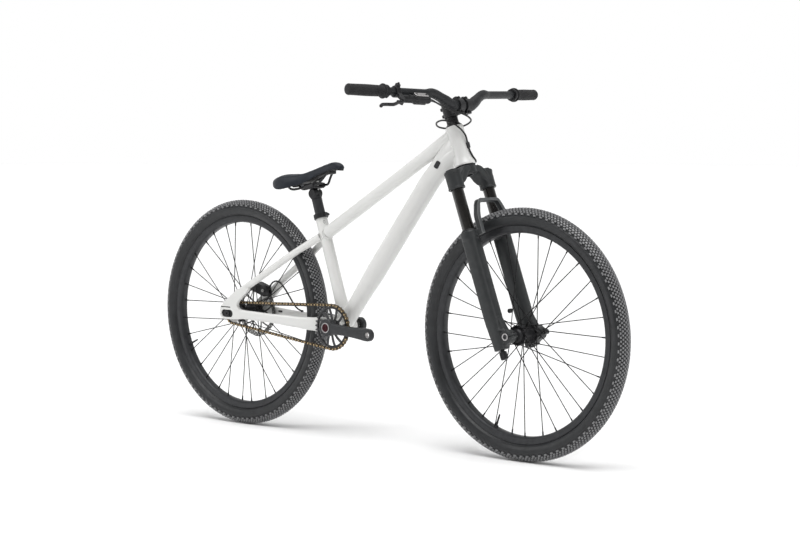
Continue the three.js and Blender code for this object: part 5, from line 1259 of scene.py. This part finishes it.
def make_caliper():
    place = caliper_place()
    outline = [(-37, -15), (-37, -2), (-30, 8), (-16, 15.5), (17, 15.5), (31, 7), (38, -2), (38, -15)]
    outline = rounded(outline, 5, 5)
    left, right, gap = 9.2, -20.4, 3.8
    body = [plate(outline, gap, left), plate(outline, right, -gap),
            rounded_box(52, 12, 9, (0, -0.5, 10.5), 3.5, 1)]
    body += moved([disc(11.5, right - 1.6, right + 2, 0.9, 40), disc(10.5, left - 2, left + 0.1, 0.6, 40)],
                  at(0, 0, -2))
    piece("caliper_body", body, "black", "frame", "caliper", place, 1.0, 30)
    screws = []
    for x in (-26, 26):
        screws += moved(bolt(4.4, 4, 4), at(x, right, 2), turned(90, "X"))
    screws += moved([disc(5.6, -4, 4, 0.8, 24)], at(-34, -8, 8))
    piece("caliper_bolts", screws, "steel", "frame", None, place, 0.3)
    start, after = vectors(caliper_hose_route[:2], MM)
    banjo = [(0, -9), (5.4, -9), (5.4, -3), (4.2, -1), (4.2, 5), (3.2, 9), (2.7, 13), (2.5, 13), (2.5, -4),
             (0, -4)]
    banjo = moved([knob(banjo, 0.5, 28)], aimed(start, after - start))
    piece("caliper_banjo", banjo, "black", "frame", bevel=0.2)
    for name, side in (("inner", -1), ("outer", 1)):
        pad = rounded_box(23, 1.9, 12.4, (0, side * 2.45, -2.6), 2.4, 0.3)
        piece(f"brake_pad_plate_{name}", [pad], "steel", "frame", f"brake_pad_{name}", place)


# Chain, cog and chain ring
pitch = 12.7
chain_line = 49
ring_teeth, cog_teeth = 32, 16
link_count = 90


def pitch_radius(teeth):
    return pitch / 2 / math.sin(math.pi / teeth)


ring_pitch, cog_pitch = pitch_radius(ring_teeth), pitch_radius(cog_teeth)


def chain_belt():
    """The angles where the chain leaves ring and cog, and the links on ring, cog and each straight run."""
    span = rear_axle - bracket
    spread = math.acos((ring_pitch - cog_pitch) / math.hypot(span.x, span.z))
    to_cog = math.atan2(span.z, span.x)
    ring_links = (TURN - 2 * spread) / (TURN / ring_teeth)
    cog_links = 2 * spread / (TURN / cog_teeth)
    runs = (link_count - ring_links - cog_links) / 2
    return to_cog + spread, to_cog - spread, ring_links, cog_links, runs


def chain_pin(centre, radius, turn):
    x, z = polar(radius, turn, centre.x, centre.z)
    return Vector((x, -chain_line, z))


def chain_place(link):
    low, high, ring_links, cog_links, runs = chain_belt()
    link = link % link_count
    if link <= ring_links:
        return chain_pin(bracket, ring_pitch, low + TURN * link / ring_teeth)
    if link <= ring_links + runs:
        leave, arrive = chain_pin(bracket, ring_pitch, high), chain_pin(rear_axle, cog_pitch, high)
        return leave.lerp(arrive, (link - ring_links) / runs)
    if link <= ring_links + runs + cog_links:
        return chain_pin(rear_axle, cog_pitch, high + TURN * (link - ring_links - runs) / cog_teeth)
    leave, arrive = chain_pin(rear_axle, cog_pitch, low), chain_pin(bracket, ring_pitch, low)
    return leave.lerp(arrive, (link - ring_links - runs - cog_links) / runs)


def link_outline(length, end, waist):
    front = [polar(end, turn, length / 2) for turn in half_turn(8)] + [(0, waist)]
    return front + [(-u, -v) for u, v in front]


def make_chain():
    outer_plates, inner_plates, rollers = [], [], []
    for link in range(link_count):
        one, two = chain_place(link), chain_place(link + 1)
        length = (two - one).length
        along = (two - one).normalized()
        place = placed((one + two) / 2, along, LEFT, along.cross(LEFT))
        if link % 2 == 0:
            kind, low, high, shape = outer_plates, 2.75, 3.75, link_outline(length, 4.1, 2.1)
        else:
            kind, low, high, shape = inner_plates, 1.75, 2.65, link_outline(length, 4.3, 2.9)
        kind += moved([plate(shape, low, high), plate(shape, -high, -low)], place)
        rollers += moved([disc(3.85, -1.65, 1.65, 0.4, 16), disc(2.8, -4.4, 4.4, 0.5, 14)], at(*one))
    piece("chain_outer_plates", outer_plates, "chain_dark", "frame", "chain")
    piece("chain_inner_plates", inner_plates, "bronze", "frame")
    piece("chain_rollers", rollers, "gold", "frame")


def toothed(teeth, first):
    """The outline of a chain wheel, with a round gap at each pin."""
    radius = pitch_radius(teeth)
    gap, gap_share, rise = 4.15, 0.62, 3.6
    made = []
    for pin in turns(teeth, first):
        for step in range(9):
            share = step / 8
            from_pin = abs(share - 0.5) * 2
            if from_pin < gap_share:
                size = radius - math.sqrt(max(0, gap ** 2 - (from_pin * pitch / 2 * 1.02) ** 2))
            else:
                size = radius + rise * math.sin(min(1, (from_pin - gap_share) / 0.3) * math.pi / 2) * 0.98
            made.append(polar(size, pin + TURN * (share - 0.5) / teeth))
    return made


def make_chain_ring():
    low, high, ring_links, _, runs = chain_belt()
    parts = [plate(toothed(ring_teeth, low), -1.1, 1.1, [circle(56, 96)]),
             washer(54.6, ring_pitch - 6.4, -2.4, 2.4, 0.8, 96),
             washer(12.3, 21, -2.2, 2.2, 0.7, 64), washer(12.3, 16.5, -5, 5, 0.7, 64)]
    for turn in turns(12):
        foot, tip = wheel_point(19, turn), wheel_point(56.5, turn + 0.20)
        parts.append(flat_bar(quadratic(foot, wheel_point(38, turn + 0.05), tip, 10), 3.3, 1.6))
    piece("chain_ring_teeth", parts, "black", "cranks", "chain_ring", DRIVE @ at(0, -chain_line, 0), 0.45, 40)
    first = high + TURN * (math.ceil(ring_links + runs) - ring_links - runs) / cog_teeth
    place = REAR_WHEEL @ at(0, -chain_line, 0)
    cog = plate(toothed(cog_teeth, first), -1.1, 1.1, [circle(17)])
    piece("rear_cog_teeth", [cog], "steel", "cog", "rear_cog", place, 0.4, 40)
    driver = [washer(7.9, 17, -7.7, 15.2, 0.8), washer(17, 20.5, -7.6, -1.2), washer(17, 20.5, 1.2, 15.2)]
    piece("rear_cog_driver", driver, "black", "cog", None, place)


# Cranks and bottom bracket
crank_long = 170
crank_angle = -3.4
crank_bore = 12.3
boss_face, pedal_face = 78, 84
crank_bosses = {
    -1: [(crank_bore, -51), (24, -51), (25, -60), (25, -boss_face), (crank_bore, -boss_face)],
    1: [(crank_bore, 62), (21, 62), (22, 66), (22, boss_face), (crank_bore, boss_face)],
}


def make_cranks():
    for name, side in SIDES:
        along = wheel_point(1, radians(crank_angle if side < 0 else 180 + crank_angle))
        place = placed(bracket, along, LEFT, along.cross(LEFT))
        rings = []
        for step in range(41):
            share = step / 40
            outer = boss_face + (pedal_face - boss_face) * (share * share * (3 - 2 * share))
            tall = 18.2 - 3.6 * math.sin(math.pi * min(1, share * 1.08)) + 0.6 * share
            thick = 6.6 - 0.5 * math.sin(math.pi * share)
            centre = Vector((crank_long * share, side * (outer - thick), 0))
            rings.append(section(centre, LEFT, UP, thick, tall, 36, 3.2))
        to_eye = at(crank_long, 0, 0)
        eye = moved([washer(7.6, 18, side * 70.6, side * pedal_face, 2.2, 56)], to_eye)
        parts = [loft(rings), *eye, hoop(crank_bosses[side], 2.2, 64, "y")]
        bores = [*moved([disc(7.3, -100, 100, 0)], to_eye), disc(12.4, -100, 100, 0)]
        cast(f"crank_arm_{name}_forging", parts, "crank", "cranks", f"crank_arm_{name}", place, 1.0, 5,
             [bores])
        thread = moved([washer(6.6, 8.4, side * 71.2, side * 83.4, 0.5, 40)], to_eye)
        piece(f"pedal_thread_{name}", thread, "ring", "cranks", None, place)
    piece("bracket_spindle", [disc(11.9, -71, 75.4)], "steel", "cranks", "spindle", DRIVE)
    piece("crank_ring", [washer(12.2, 14.6, -79.4, -77.2, 0.4, 56)], "ring", "cranks", None, DRIVE)
    head = [(0, -80.4), (3.2, -80.4), (4.2, -81.4), (9.8, -81.4), (11.4, -79.6), (11.4, -71.8), (0, -71.8)]
    piece("crank_bolt_head", [knob(head, 0.7, 48, "y")], "red", "cranks", "crank_bolt", DRIVE)
    cap = [(0, 75.6), (0, 79.3), (8.6, 79.3), (9.6, 78), (9.6, 75.6)]
    piece("crank_cap_left", [hoop(cap, 0.5, 40, "y")], "black", "cranks", None, DRIVE)


def make_bracket_cups():
    for name, side in SIDES:
        face = 36.8 * side
        outline = []
        for step, turn in enumerate(turns(128)):
            notch = 1.5 if step % 8 < 3 else 0
            outline.append(polar(21.6 - notch, turn))
        parts = [plate(outline, face, face + side * 6.2, [circle(12.6)]),
                 washer(12.6, 20, face, face + side * 9.3, 0.8, 56),
                 washer(12.6, 18.2, face - side * 13.8, face, 0)]
        piece(f"bracket_cup_{name}_ring", parts, "black", "frame", f"bracket_cup_{name}", DRIVE, 0.3)


# Fork
crown_top = 496
socket_top, socket_base = 482, 431
lowers_top = 309
leg_ahead, leg_side = 5, 68
stanchion_radius = 17
TO_AXLE = at(fork_offset, 0, 0)
PINCH = fork_offset + 22


def on_leg(parts, side):
    return moved(parts, at(leg_ahead, side * leg_side, 0))


def on_legs(parts):
    return on_leg(parts, -1) + on_leg(parts, 1)


def leg_bores(play, low, high):
    """A cutter for each stanchion's bore, with some play round the stanchion."""
    bore = disc(stanchion_radius + play, low, high, 0, 48, "z")
    return [on_leg([bore], -1), on_leg([bore], 1)]


def make_crown():
    socket = [(0, socket_base), (22, socket_base), (22.8, socket_base + 2), (23.2, socket_top - 2),
              (22.2, socket_top), (0, socket_top)]
    neck = [(0, 473), (27.5, 473), (29, 476), (29, crown_top - 1), (28.4, crown_top), (0, crown_top)]
    parts = on_legs([knob(socket, 1, 56)]) + [knob(neck, 1, 64)]
    half = [(5, 68, 458), (5, 52, 463), (5, 36, 478), (5, 20, 485)]
    arch = across_plane(half[::-1]) + vectors([(5, 0, 485.5), *half[::-1]])
    sizes = [(0, 19, 20), (0.15, 20.5, 18), (0.3, 22, 13), (0.4, 22, 10)]
    sizes += [(1 - share, wide, tall) for share, wide, tall in reversed(sizes)]
    parts.append(tube(spline(arch, 5), sizes, 40, AHEAD, 5))
    for side in (-1, 1):
        ridge = [Vector((24, side * y, z)) for y, z in ((22, 492), (36, 488), (52, 473), (62, 452))]
        parts.append(tube(spline(ridge, 5), [(0, 3, 3.4), (1, 3, 3.4)], 20, AHEAD, 2.6))
    cuts = [*leg_bores(0.25, 300, 600), [lathe([(0, 300), (19.4, 300), (19.4, 600), (0, 600)])]]
    cast("fork_crown_forging", parts, "fork", "steering", "fork_crown", STEER, 1.0, 3, cuts)
    upper = [(17.3, 474), (23.9, 474), (24.2, 475.6), (24.2, 480.8), (22.8, 482.4), (17.3, 482.4)]
    lower = [(17.3, 430.4), (22.6, 430.4), (23.8, 431.6), (23.8, 435.4), (22.8, 436.4), (17.3, 436.4)]
    foot = [(15.5, 471.4), (20.6, 471.4), (22, 472.6), (22, 476), (15.5, 476)]
    collars = on_legs([hoop(upper, 0.7, 64), hoop(lower, 0.7, 64)]) + [hoop(foot, 0.7, 56)]
    piece("fork_crown_collars", collars, "fork", "steering", None, STEER)
    cap = [(0, 470), (14.2, 470), (14.2, socket_top + 0.3), (18.9, socket_top + 0.3), (18.9, socket_top + 3),
           (17.6, socket_top + 4.8), (11, socket_top + 4.8), (10.4, socket_top + 3), (0, socket_top + 3)]
    notches = []
    for turn in turns(8):
        tooth = rounded_box(5, 3, 1.4, (14.2, 0, socket_top + 4.6), 0.5, 0.3)
        notches += moved([tooth], Matrix.Rotation(turn, 4, "Z"))
    notches.append(disc(4.4, socket_top + 2.4, socket_top + 6.2, 1.2, 24, "z"))
    for name, side in SIDES:
        top = on_leg([knob(cap, 0.8)], side)
        piece(f"fork_cap_{name}_top", top, "black", "steering", f"fork_cap_{name}", STEER)
        piece(f"fork_cap_{name}_detail", on_leg(notches, side), "crank", "steering", None, STEER)
        shaft = on_leg([washer(14.5, stanchion_radius, 151, 480, 0.6, 64, "z")], side)
        piece(f"stanchion_{name}_tube", shaft, "gloss", "steering", f"stanchion_{name}", STEER)


def arch_path():
    half = [(41, 60.5, 292), (41, 60.7, 320), (41, 59.6, 342), (41, 53, 361), (41, 44, 380), (41, 38, 385.4),
            (41, 28, 386.2)]
    return spline(vectors([*half, (41, 0, 386.4)]) + across_plane(half), 8)


def make_lowers():
    parts = []
    for _, side in SIDES:
        line = [Vector((leg_ahead, side * leg_side, z)) for z in range(-28, 298, 8)]
        parts.append(tube(line, [(0, 18.8, 18.4), (0.30, 23.4, 22), (1, 23.4, 22)], 48, AHEAD, 3))
        collar = [(0, 282), (23.5, 282), (25.4, 287), (25.4, 305), (23.6, lowers_top), (0, lowers_top)]
        parts += on_leg([knob(collar, 1.6, 56)], side)
        low, high = sorted((side * 55.4, side * 80.8))
        parts += moved([disc(19, low, high, 2.2, 56)], TO_AXLE)
        web = [(leg_ahead - 4, -26), (leg_ahead + 12, -27), (fork_offset - 2, -18.6), (fork_offset + 15, -9),
               (fork_offset + 16, 8), (fork_offset + 2, 19), (leg_ahead + 20, 76), (leg_ahead, 76)]
        parts.append(plate(rounded(web, 6, 4), low + 2.5, high - 2.5))
        rib = ((leg_ahead - 4, 34), (leg_ahead + 14, 27), (fork_offset + 8, 17))
        rib = spline([(x, side * 82.4, z) for x, z in rib], 5)
        parts.append(tube(rib, [(0, 1.6, 1.6), (0.5, 2.6, 3), (1, 2, 2.2)], 16, LEFT, 2.4))
        parts.append(rounded_box(22, 18, 13.5, (fork_offset + 17, side * 71, -3.2), 4, 1.6))
        parts.append(rounded_box(42, 17, 17, (26, side * 60, 299), 6, 3))
    path = arch_path()
    parts.append(tube(path, [(0, 8, 6), (0.5, 7.4, 3.6), (1, 8, 6)], 28, AHEAD, 3.4))
    for side in (-1, 1):
        brace = spline([(16, side * 59, 302), (31, side * 58.5, 311), (40, side * 57.5, 328)], 6)
        parts.append(tube(brace, [(0, 5, 7), (1, 4, 4)], 20, LEFT, 2.6))
    pinch_slit = rounded_box(40, 200, 2.2, (fork_offset + 27, 0, -3.2), 0.2, 0.1)
    cuts = [moved([disc(10.3, -100, 100, 0)], TO_AXLE), [pinch_slit], *leg_bores(0.5, 34, 340)]
    cast("fork_lowers_casting", parts, "fork", "fork_slider", "fork_lowers", STEER, 1.3, 3, cuts)
    # The ribs take the paler fork grey, a painted highlight along the arch's ridges.
    ribs = []
    for x in (33.8, 48.2):
        ridge = [Vector((x, p.y, p.z)) for p in evenly(path, 90)]
        ribs.append(tube(ridge, [(0, 1.5, 6.4), (0.5, 1.5, 4.2), (1, 1.5, 6.4)], 20, AHEAD, 3))
    piece("fork_arch_ribs", ribs, "edge", "fork_slider", None, STEER)
    lip = [(17.3, 302), (21.6, 302), (21.6, 310), (19.4, 313.6), (17.3, 313.6)]
    piece("fork_seals", on_legs([hoop(lip, 0.8, 56)]), "plastic", "fork_slider", None, STEER)
    foot = knob([(0, -31.4), (5, -31.4), (7.6, -30.2), (7.6, -27), (0, -27)], 0.6, 32)
    piece("fork_foot_bolt", on_leg([foot], 1), "black", "fork_slider", None, STEER)
    screws = []
    for side in (-1, 1):
        for y in (66, 76):
            screws += moved([*bolt(3.4, 3.2, 3), disc(2.6, -12, 0, 0, 16, "z")], at(PINCH, side * y, 3.1))
    piece("fork_pinch_bolts", screws, "black", "fork_slider", None, STEER, 0.2)


def make_brake_tab():
    """The left leg's tab for a front brake, which the photo's bike leaves empty."""
    mounts = ((-37.5, 86.6), (-9, 46))
    tab = rounded([(leg_ahead, 14), (-14, 40), (-30, 76), (-45, 84), (-45, 92), (leg_ahead, 101)], 5, 5)
    opening = rounded([(-4, 60), (-18, 66), (-28, 80), (-4, 86)], 4, 4)
    body = plate(tab, 64.2, 71.8, [*(circle(3.1, 20, x, z) for x, z in mounts), opening])
    tab_plate = piece("fork_brake_tab_plate", [body], "fork", "fork_slider", None, STEER, 0.9)
    posts = []
    for x, z in mounts:
        posts += moved([washer(3.1, 6.4, 62.4, 73, 0.8, 32)], at(x, 0, z))
    bosses = piece("fork_brake_bosses", posts, "fork", "fork_slider", None, STEER)
    for made in (tab_plate, bosses):
        cut(made, leg_bores(0.8, 34, 340)[1], STEER)
        shade_by_angle(made, 38)


def make_front_axle():
    axle = [(0, -79.5), (3.6, -79.5), (6.2, -81.4), (9.9, -81.4), (9.9, 81.4), (5, 81.4), (0, 80)]
    rod = moved([knob(axle, 0.7, 56, "y")], TO_AXLE)
    piece("front_axle_rod", rod, "crank", "fork_slider", "front_axle", STEER)
    ring = moved([washer(6.9, 9.8, -83.2, -80.6)], TO_AXLE)
    piece("front_axle_ring", ring, "ring", "fork_slider", None, STEER)
    grip = [polar(10.1 + 0.45 * math.cos(20 * turn), turn) for turn in turns(120)]
    body = [plate(grip, -53.6, -34.6, (), "z"), disc(9.5, -55.2, -33.2, 1.2, 48, "z"),
            disc(5.9, -34, -28.3, 0.3, 32, "z")]
    piece("rebound_knob_grip", on_leg(body, -1), "black", "rebound_dial", "rebound_knob", STEER, 0.5)


def make_headset():
    lower = [(19.7, 496.5), (28.6, 496.5), (29.5, 497.1), (29.5, 498.2), (28.8, 498.7), (25.8, 498.8),
             (25.8, 506), (19.7, 506)]
    piece("headset_lower_ring", [hoop(lower, 0.3, 64)], "black", "frame", "headset_lower", STEER)
    upper = washer(14.8, 22, 604.6, 614.2, 0, 48, "z")
    piece("headset_upper_ring", [upper], "steel", "frame", "headset_upper", STEER)
    stack = head_top + 0.4
    cover = [(14.7, stack), (23.8, stack), (24, stack + 1.4), (21, stack + 5), (17.6, stack + 9.2),
             (14.7, stack + 9.2)]
    piece("headset_cover_cone", [hoop(cover, 0.7, 64)], "black", "steering", "headset_cover", STEER)
    foot = stack + 9.5
    rings = [washer(14.7, 17, base, base + tall, 0.5, 56, "z")
             for base, tall in ((foot, 9.9), (foot + 10.1, 7.2))]
    piece("headset_spacers", rings, "black", "steering", "spacer", STEER)
    steerer = [(11.7, 476), (19.2, 476), (19.2, 512), (14.3, 567), (14.3, 676), (11.7, 676), (11.7, 567),
               (16.6, 512), (11.7, 476)]
    piece("steerer_tube", [lathe(steerer)], "steel", "steering", "steerer", STEER)


# Cockpit
stem_foot, stem_top = 642.1, 682.1
clamp_ahead, clamp_height = 45, 660.1
bar_back, bar_rise, bar_upsweep = 39, 34, 22
bar_bend_side, bar_end_side = 105, 399
CLAMP = at(clamp_ahead, 0, clamp_height)
stem_bolt_heights = (652, 672)


def make_stem():
    post = [(0, stem_foot), (18.6, stem_foot), (19.5, stem_foot + 1.4), (19.5, 680.6), (18.4, stem_top),
            (0, stem_top)]
    parts = [knob(post, 1, 64), rounded_box(46, 27, 29, (21, 0, clamp_height), 4, 3)]
    parts += moved([disc(21.2, -25.8, 25.8, 1.6, 64)], CLAMP)
    for y in (-17, 17):
        for z in (-20.6, 20.6):
            parts.append(rounded_box(17.5, 11, 8.6, (clamp_ahead, y, clamp_height + z), 3, 1))
    parts += [rounded_box(13, 25, 9.6, (-17, 0, z), 3.2, 2.6) for z in stem_bolt_heights]
    cuts = [[disc(14.5, 600, 700, 0, 40, "z")], moved([disc(16.2, -60, 60, 0, 56)], CLAMP),
            [rounded_box(60, 80, 80, (clamp_ahead + 29.4, 0, clamp_height), 0.5, 0.3)],
            [rounded_box(30, 1.8, 60, (-24, 0, 662), 0.3, 0.2)]]
    cast("stem_forging", parts, "black", "steering", "stem", STEER, 0.9, 4, cuts, 45)
    arc = [polar(21.2, radians(-72 + 9 * step)) for step in range(17)]
    inner = [polar(16.3, radians(88 - 8 * step)) for step in range(23)]
    outline = [(0.8, -24.6), (8.2, -24.6), (9.2, -20), *arc, (9.2, 20), (8.2, 24.6), (0.8, 24.6), (0.8, 16.3),
               *inner, (0.8, -16.3)]
    straps = moved([plate(outline, side * 5.2, side * 25.8) for side in (-1, 1)], CLAMP)
    piece("stem_faceplate_straps", straps, "black", "steering", "stem_faceplate", STEER, 0.9, 30)
    screws = []
    for y in (-15.5, 15.5):
        for z in (-20.9, 20.9):
            screws += moved(bolt(3.7, 3.8, 3.4), aimed((clamp_ahead + 8.6, y, clamp_height + z), AHEAD))
    for z in stem_bolt_heights:
        screws += moved(bolt(3.4, 3.2, 3.2), aimed((-18, 11.6, z), LEFT))
    piece("stem_bolts", screws, "black", "steering", None, STEER, 0.3)
    cap = [(0, 682.4), (16.4, 682.4), (16.4, 685.4), (15, 687.3), (6, 687.3), (5.2, 685.6), (0, 685.6)]
    piece("top_cap_disc", [knob(cap, 0.7, 56)], "black", "steering", "top_cap", STEER)
    piece("top_cap_bolt", moved(bolt(4.4, 2.2, 4), at(0, 0, 685.2)), "black", "steering", None, STEER, 0.3)


def bar_points():
    half = [Vector((clamp_ahead, y, clamp_height)) for y in (0, 26, 36)]
    for share in (0, 0.12, 0.4, 0.7, 1):
        y = bar_bend_side + (bar_end_side - bar_bend_side) * share
        z = clamp_height + bar_rise + bar_upsweep * share
        half.append(Vector((clamp_ahead - bar_back * share, y, z)))
    return across_plane(half[1:]) + half


def make_bar():
    line = evenly(spline(bar_points(), 24), 320)
    half = [(0, 11.1), (0.325, 11.1), (0.355, 13.6), (0.39, 13.6), (0.425, 15.9)]
    half += [(0.575, 15.9), (0.61, 13.6), (0.645, 13.6), (0.675, 11.1), (1, 11.1)]
    sizes = [(share, radius, radius) for share, radius in half]
    piece("handlebar_tube", [tube(line, sizes, 48, AHEAD)], "bar", "steering", "handlebar", STEER)
    sleeve = [(0, -3.1), (11.4, -3.1), (14.4, -1.6), (15.6, 1.4)]
    for rib in range(26):
        base = 5 + rib * 4.1
        swell = 0.7 * math.exp(-((rib - 13) / 8) ** 2)
        sleeve += [(14.7 + swell, base), (15.2 + swell, base + 0.7), (15.2 + swell, base + 2.4),
                   (14.7 + swell, base + 3.1)]
    sleeve += [(15.2, 112.5), (16.6, 114.6), (20, 115.6), (20.5, 116.6), (20.4, 118.8), (19.6, 120),
               (16, 120.2), (11.6, 120.2), (11.6, 2), (0, 2)]
    lock = [(11.5, 120.4), (17.6, 120.4), (17.9, 121.6), (17.9, 130.6), (17.2, 131.9), (11.5, 131.9)]
    ends = bar_points()
    for name, side in SIDES:
        end, after = (ends[-1], ends[-2]) if side > 0 else (ends[0], ends[1])
        way = STEER @ aimed(end, after - end)
        piece(f"grip_{name}_sleeve", [lathe(sleeve, 56)], "grip", "steering", f"grip_{name}", way)
        piece(f"grip_{name}_lock", [hoop(lock, 0.6)], "black", "steering", None, way)
        screw = moved(bolt(2.7, 2.2, 2.6), aimed((0, -17.2, 126.2), -LEFT))
        piece(f"grip_{name}_screw", screw, "black", "steering", None, way, 0.2)


def lever_place():
    """The lever's frame: its origin on the bar, X away from the bar and Y inward along it."""
    end, after = bar_points()[:2]
    along = (after - end).normalized()
    aim = radians(52)
    away = Vector((math.cos(aim), 0, -math.sin(aim)))
    outward = (away - along * away.dot(along)).normalized()
    return STEER @ placed(end + along * (161 / along.y), outward, along, outward.cross(along))


def make_lever():
    place = lever_place()
    ear = rounded([(34, -18), (52, -20), (57.4, -16), (57.4, -11), (52, -7.6), (40, 2), (34, 2)], 3, 4)
    nose = [(0, 84), (9.4, 86), (9, 91), (6.4, 94.1), (0, 94.1)]
    parts = [washer(11.5, 16.2, -7.3, 7.3, 1.4, 56), rounded_box(24, 14.6, 13.6, (26, 0, 0), 4, 2.4),
             rounded_box(13, 13, 17, (-2, 0, 15.5), 4, 2),
             *moved([disc(10.4, -6, 90, 3.4)], at(38, 0, 0)),
             rounded_box(20.5, 48, 27.4, (34.5, 59.5, -0.3), 6, 4.6),
             *moved([knob(nose, 1, 40, "y")], at(38, 0, 0)),
             plate(ear, -9, -6, (), "z"), plate(ear, 6, 9, (), "z")]
    cast("brake_master_casting", parts, "black", "steering", "brake_master", place, 0.8, 4,
         [[disc(11.3, -8, 8, 0)]], 45)
    # A thin pale plate on the black reservoir's top: a painted reflection of the light on its lid.
    lid = moved([rounded_box(15.5, 43, 2.2, soft=4, edge=0.8)], at(34.5, 59.5, 14.1))
    piece("brake_master_lid_painted_reflection", lid, "ring", "steering", None, place)
    screws = []
    for y in (43, 76):
        screws += moved(bolt(2.5, 1.5, 2.4), at(34.5, y, 15))
    screws += moved(bolt(3.2, 3, 3), at(-2, 0, 24))
    screws += moved(bolt(3.2, 3, 3), aimed((37, 20, 10), UP))
    piece("brake_master_screws", screws, "black", "steering", None, place, 0.25)
    pivot = at(52, -14, 0)
    pin = moved([disc(2.6, -9.4, 9.4, 0.5, 24, "z")], pivot)
    piece("brake_lever_pin", pin, "black", "steering", None, place)
    route = [(0, 0, 0), (7, -18.4, 0), (18, -41.4, 0), (20, -69, 0), (22.7, -85.6, 0), (29, -92, 0)]
    sizes = [(0, 4.2, 6), (0.12, 3.6, 5), (0.35, 4.6, 4.2), (0.8, 4.6, 3.6), (0.94, 4.4, 3.6), (1, 4.8, 4.6)]
    blade = [tube(evenly(spline(route, 12), 90), sizes, 28, UP, 2.6), disc(6, -5.4, 5.4, 1, 40, "z")]
    ball = lathe([polar(5, radians(degrees)) for degrees in range(-90, 91, 10)], 28)
    blade += moved([ball], at(29, -92, 0))
    cast("brake_lever_blade", moved(blade, pivot), "black", "lever", "brake_lever", place, 0.7, 4)
    follow = spline(vectors(brake_hose_route[:4], MM), 8)[:15]
    nut = knob([(0, -7), (5.2, -7), (5.2, 1.5), (4.6, 3), (2.6, 3), (2.6, 0), (0, 0)], 0.5, 6)
    nut_place = aimed(Vector(brake_hose_route[0]) / MM, follow[1] - follow[0])
    piece("brake_hose_nut", moved([nut], nut_place), "black", "steering")
    boot = tube(follow, [(0, 4.3, 4.3), (0.5, 3.9, 3.9), (1, 2.75, 2.75)], 20)
    piece("brake_hose_boot", [boot], "plastic", "steering")


make_camera()
make_stage()
make_sky()
make_hoses()
make_frame_trim(*make_frame())
make_clamp()
make_seat_post()
make_cushion()
make_rails()
make_dropouts()
make_stay_port()
make_wheels()
make_rotor()
make_caliper()
make_chain()
make_chain_ring()
make_cranks()
make_bracket_cups()
make_crown()
make_lowers()
make_brake_tab()
make_front_axle()
make_headset()
make_stem()
make_bar()
make_lever()
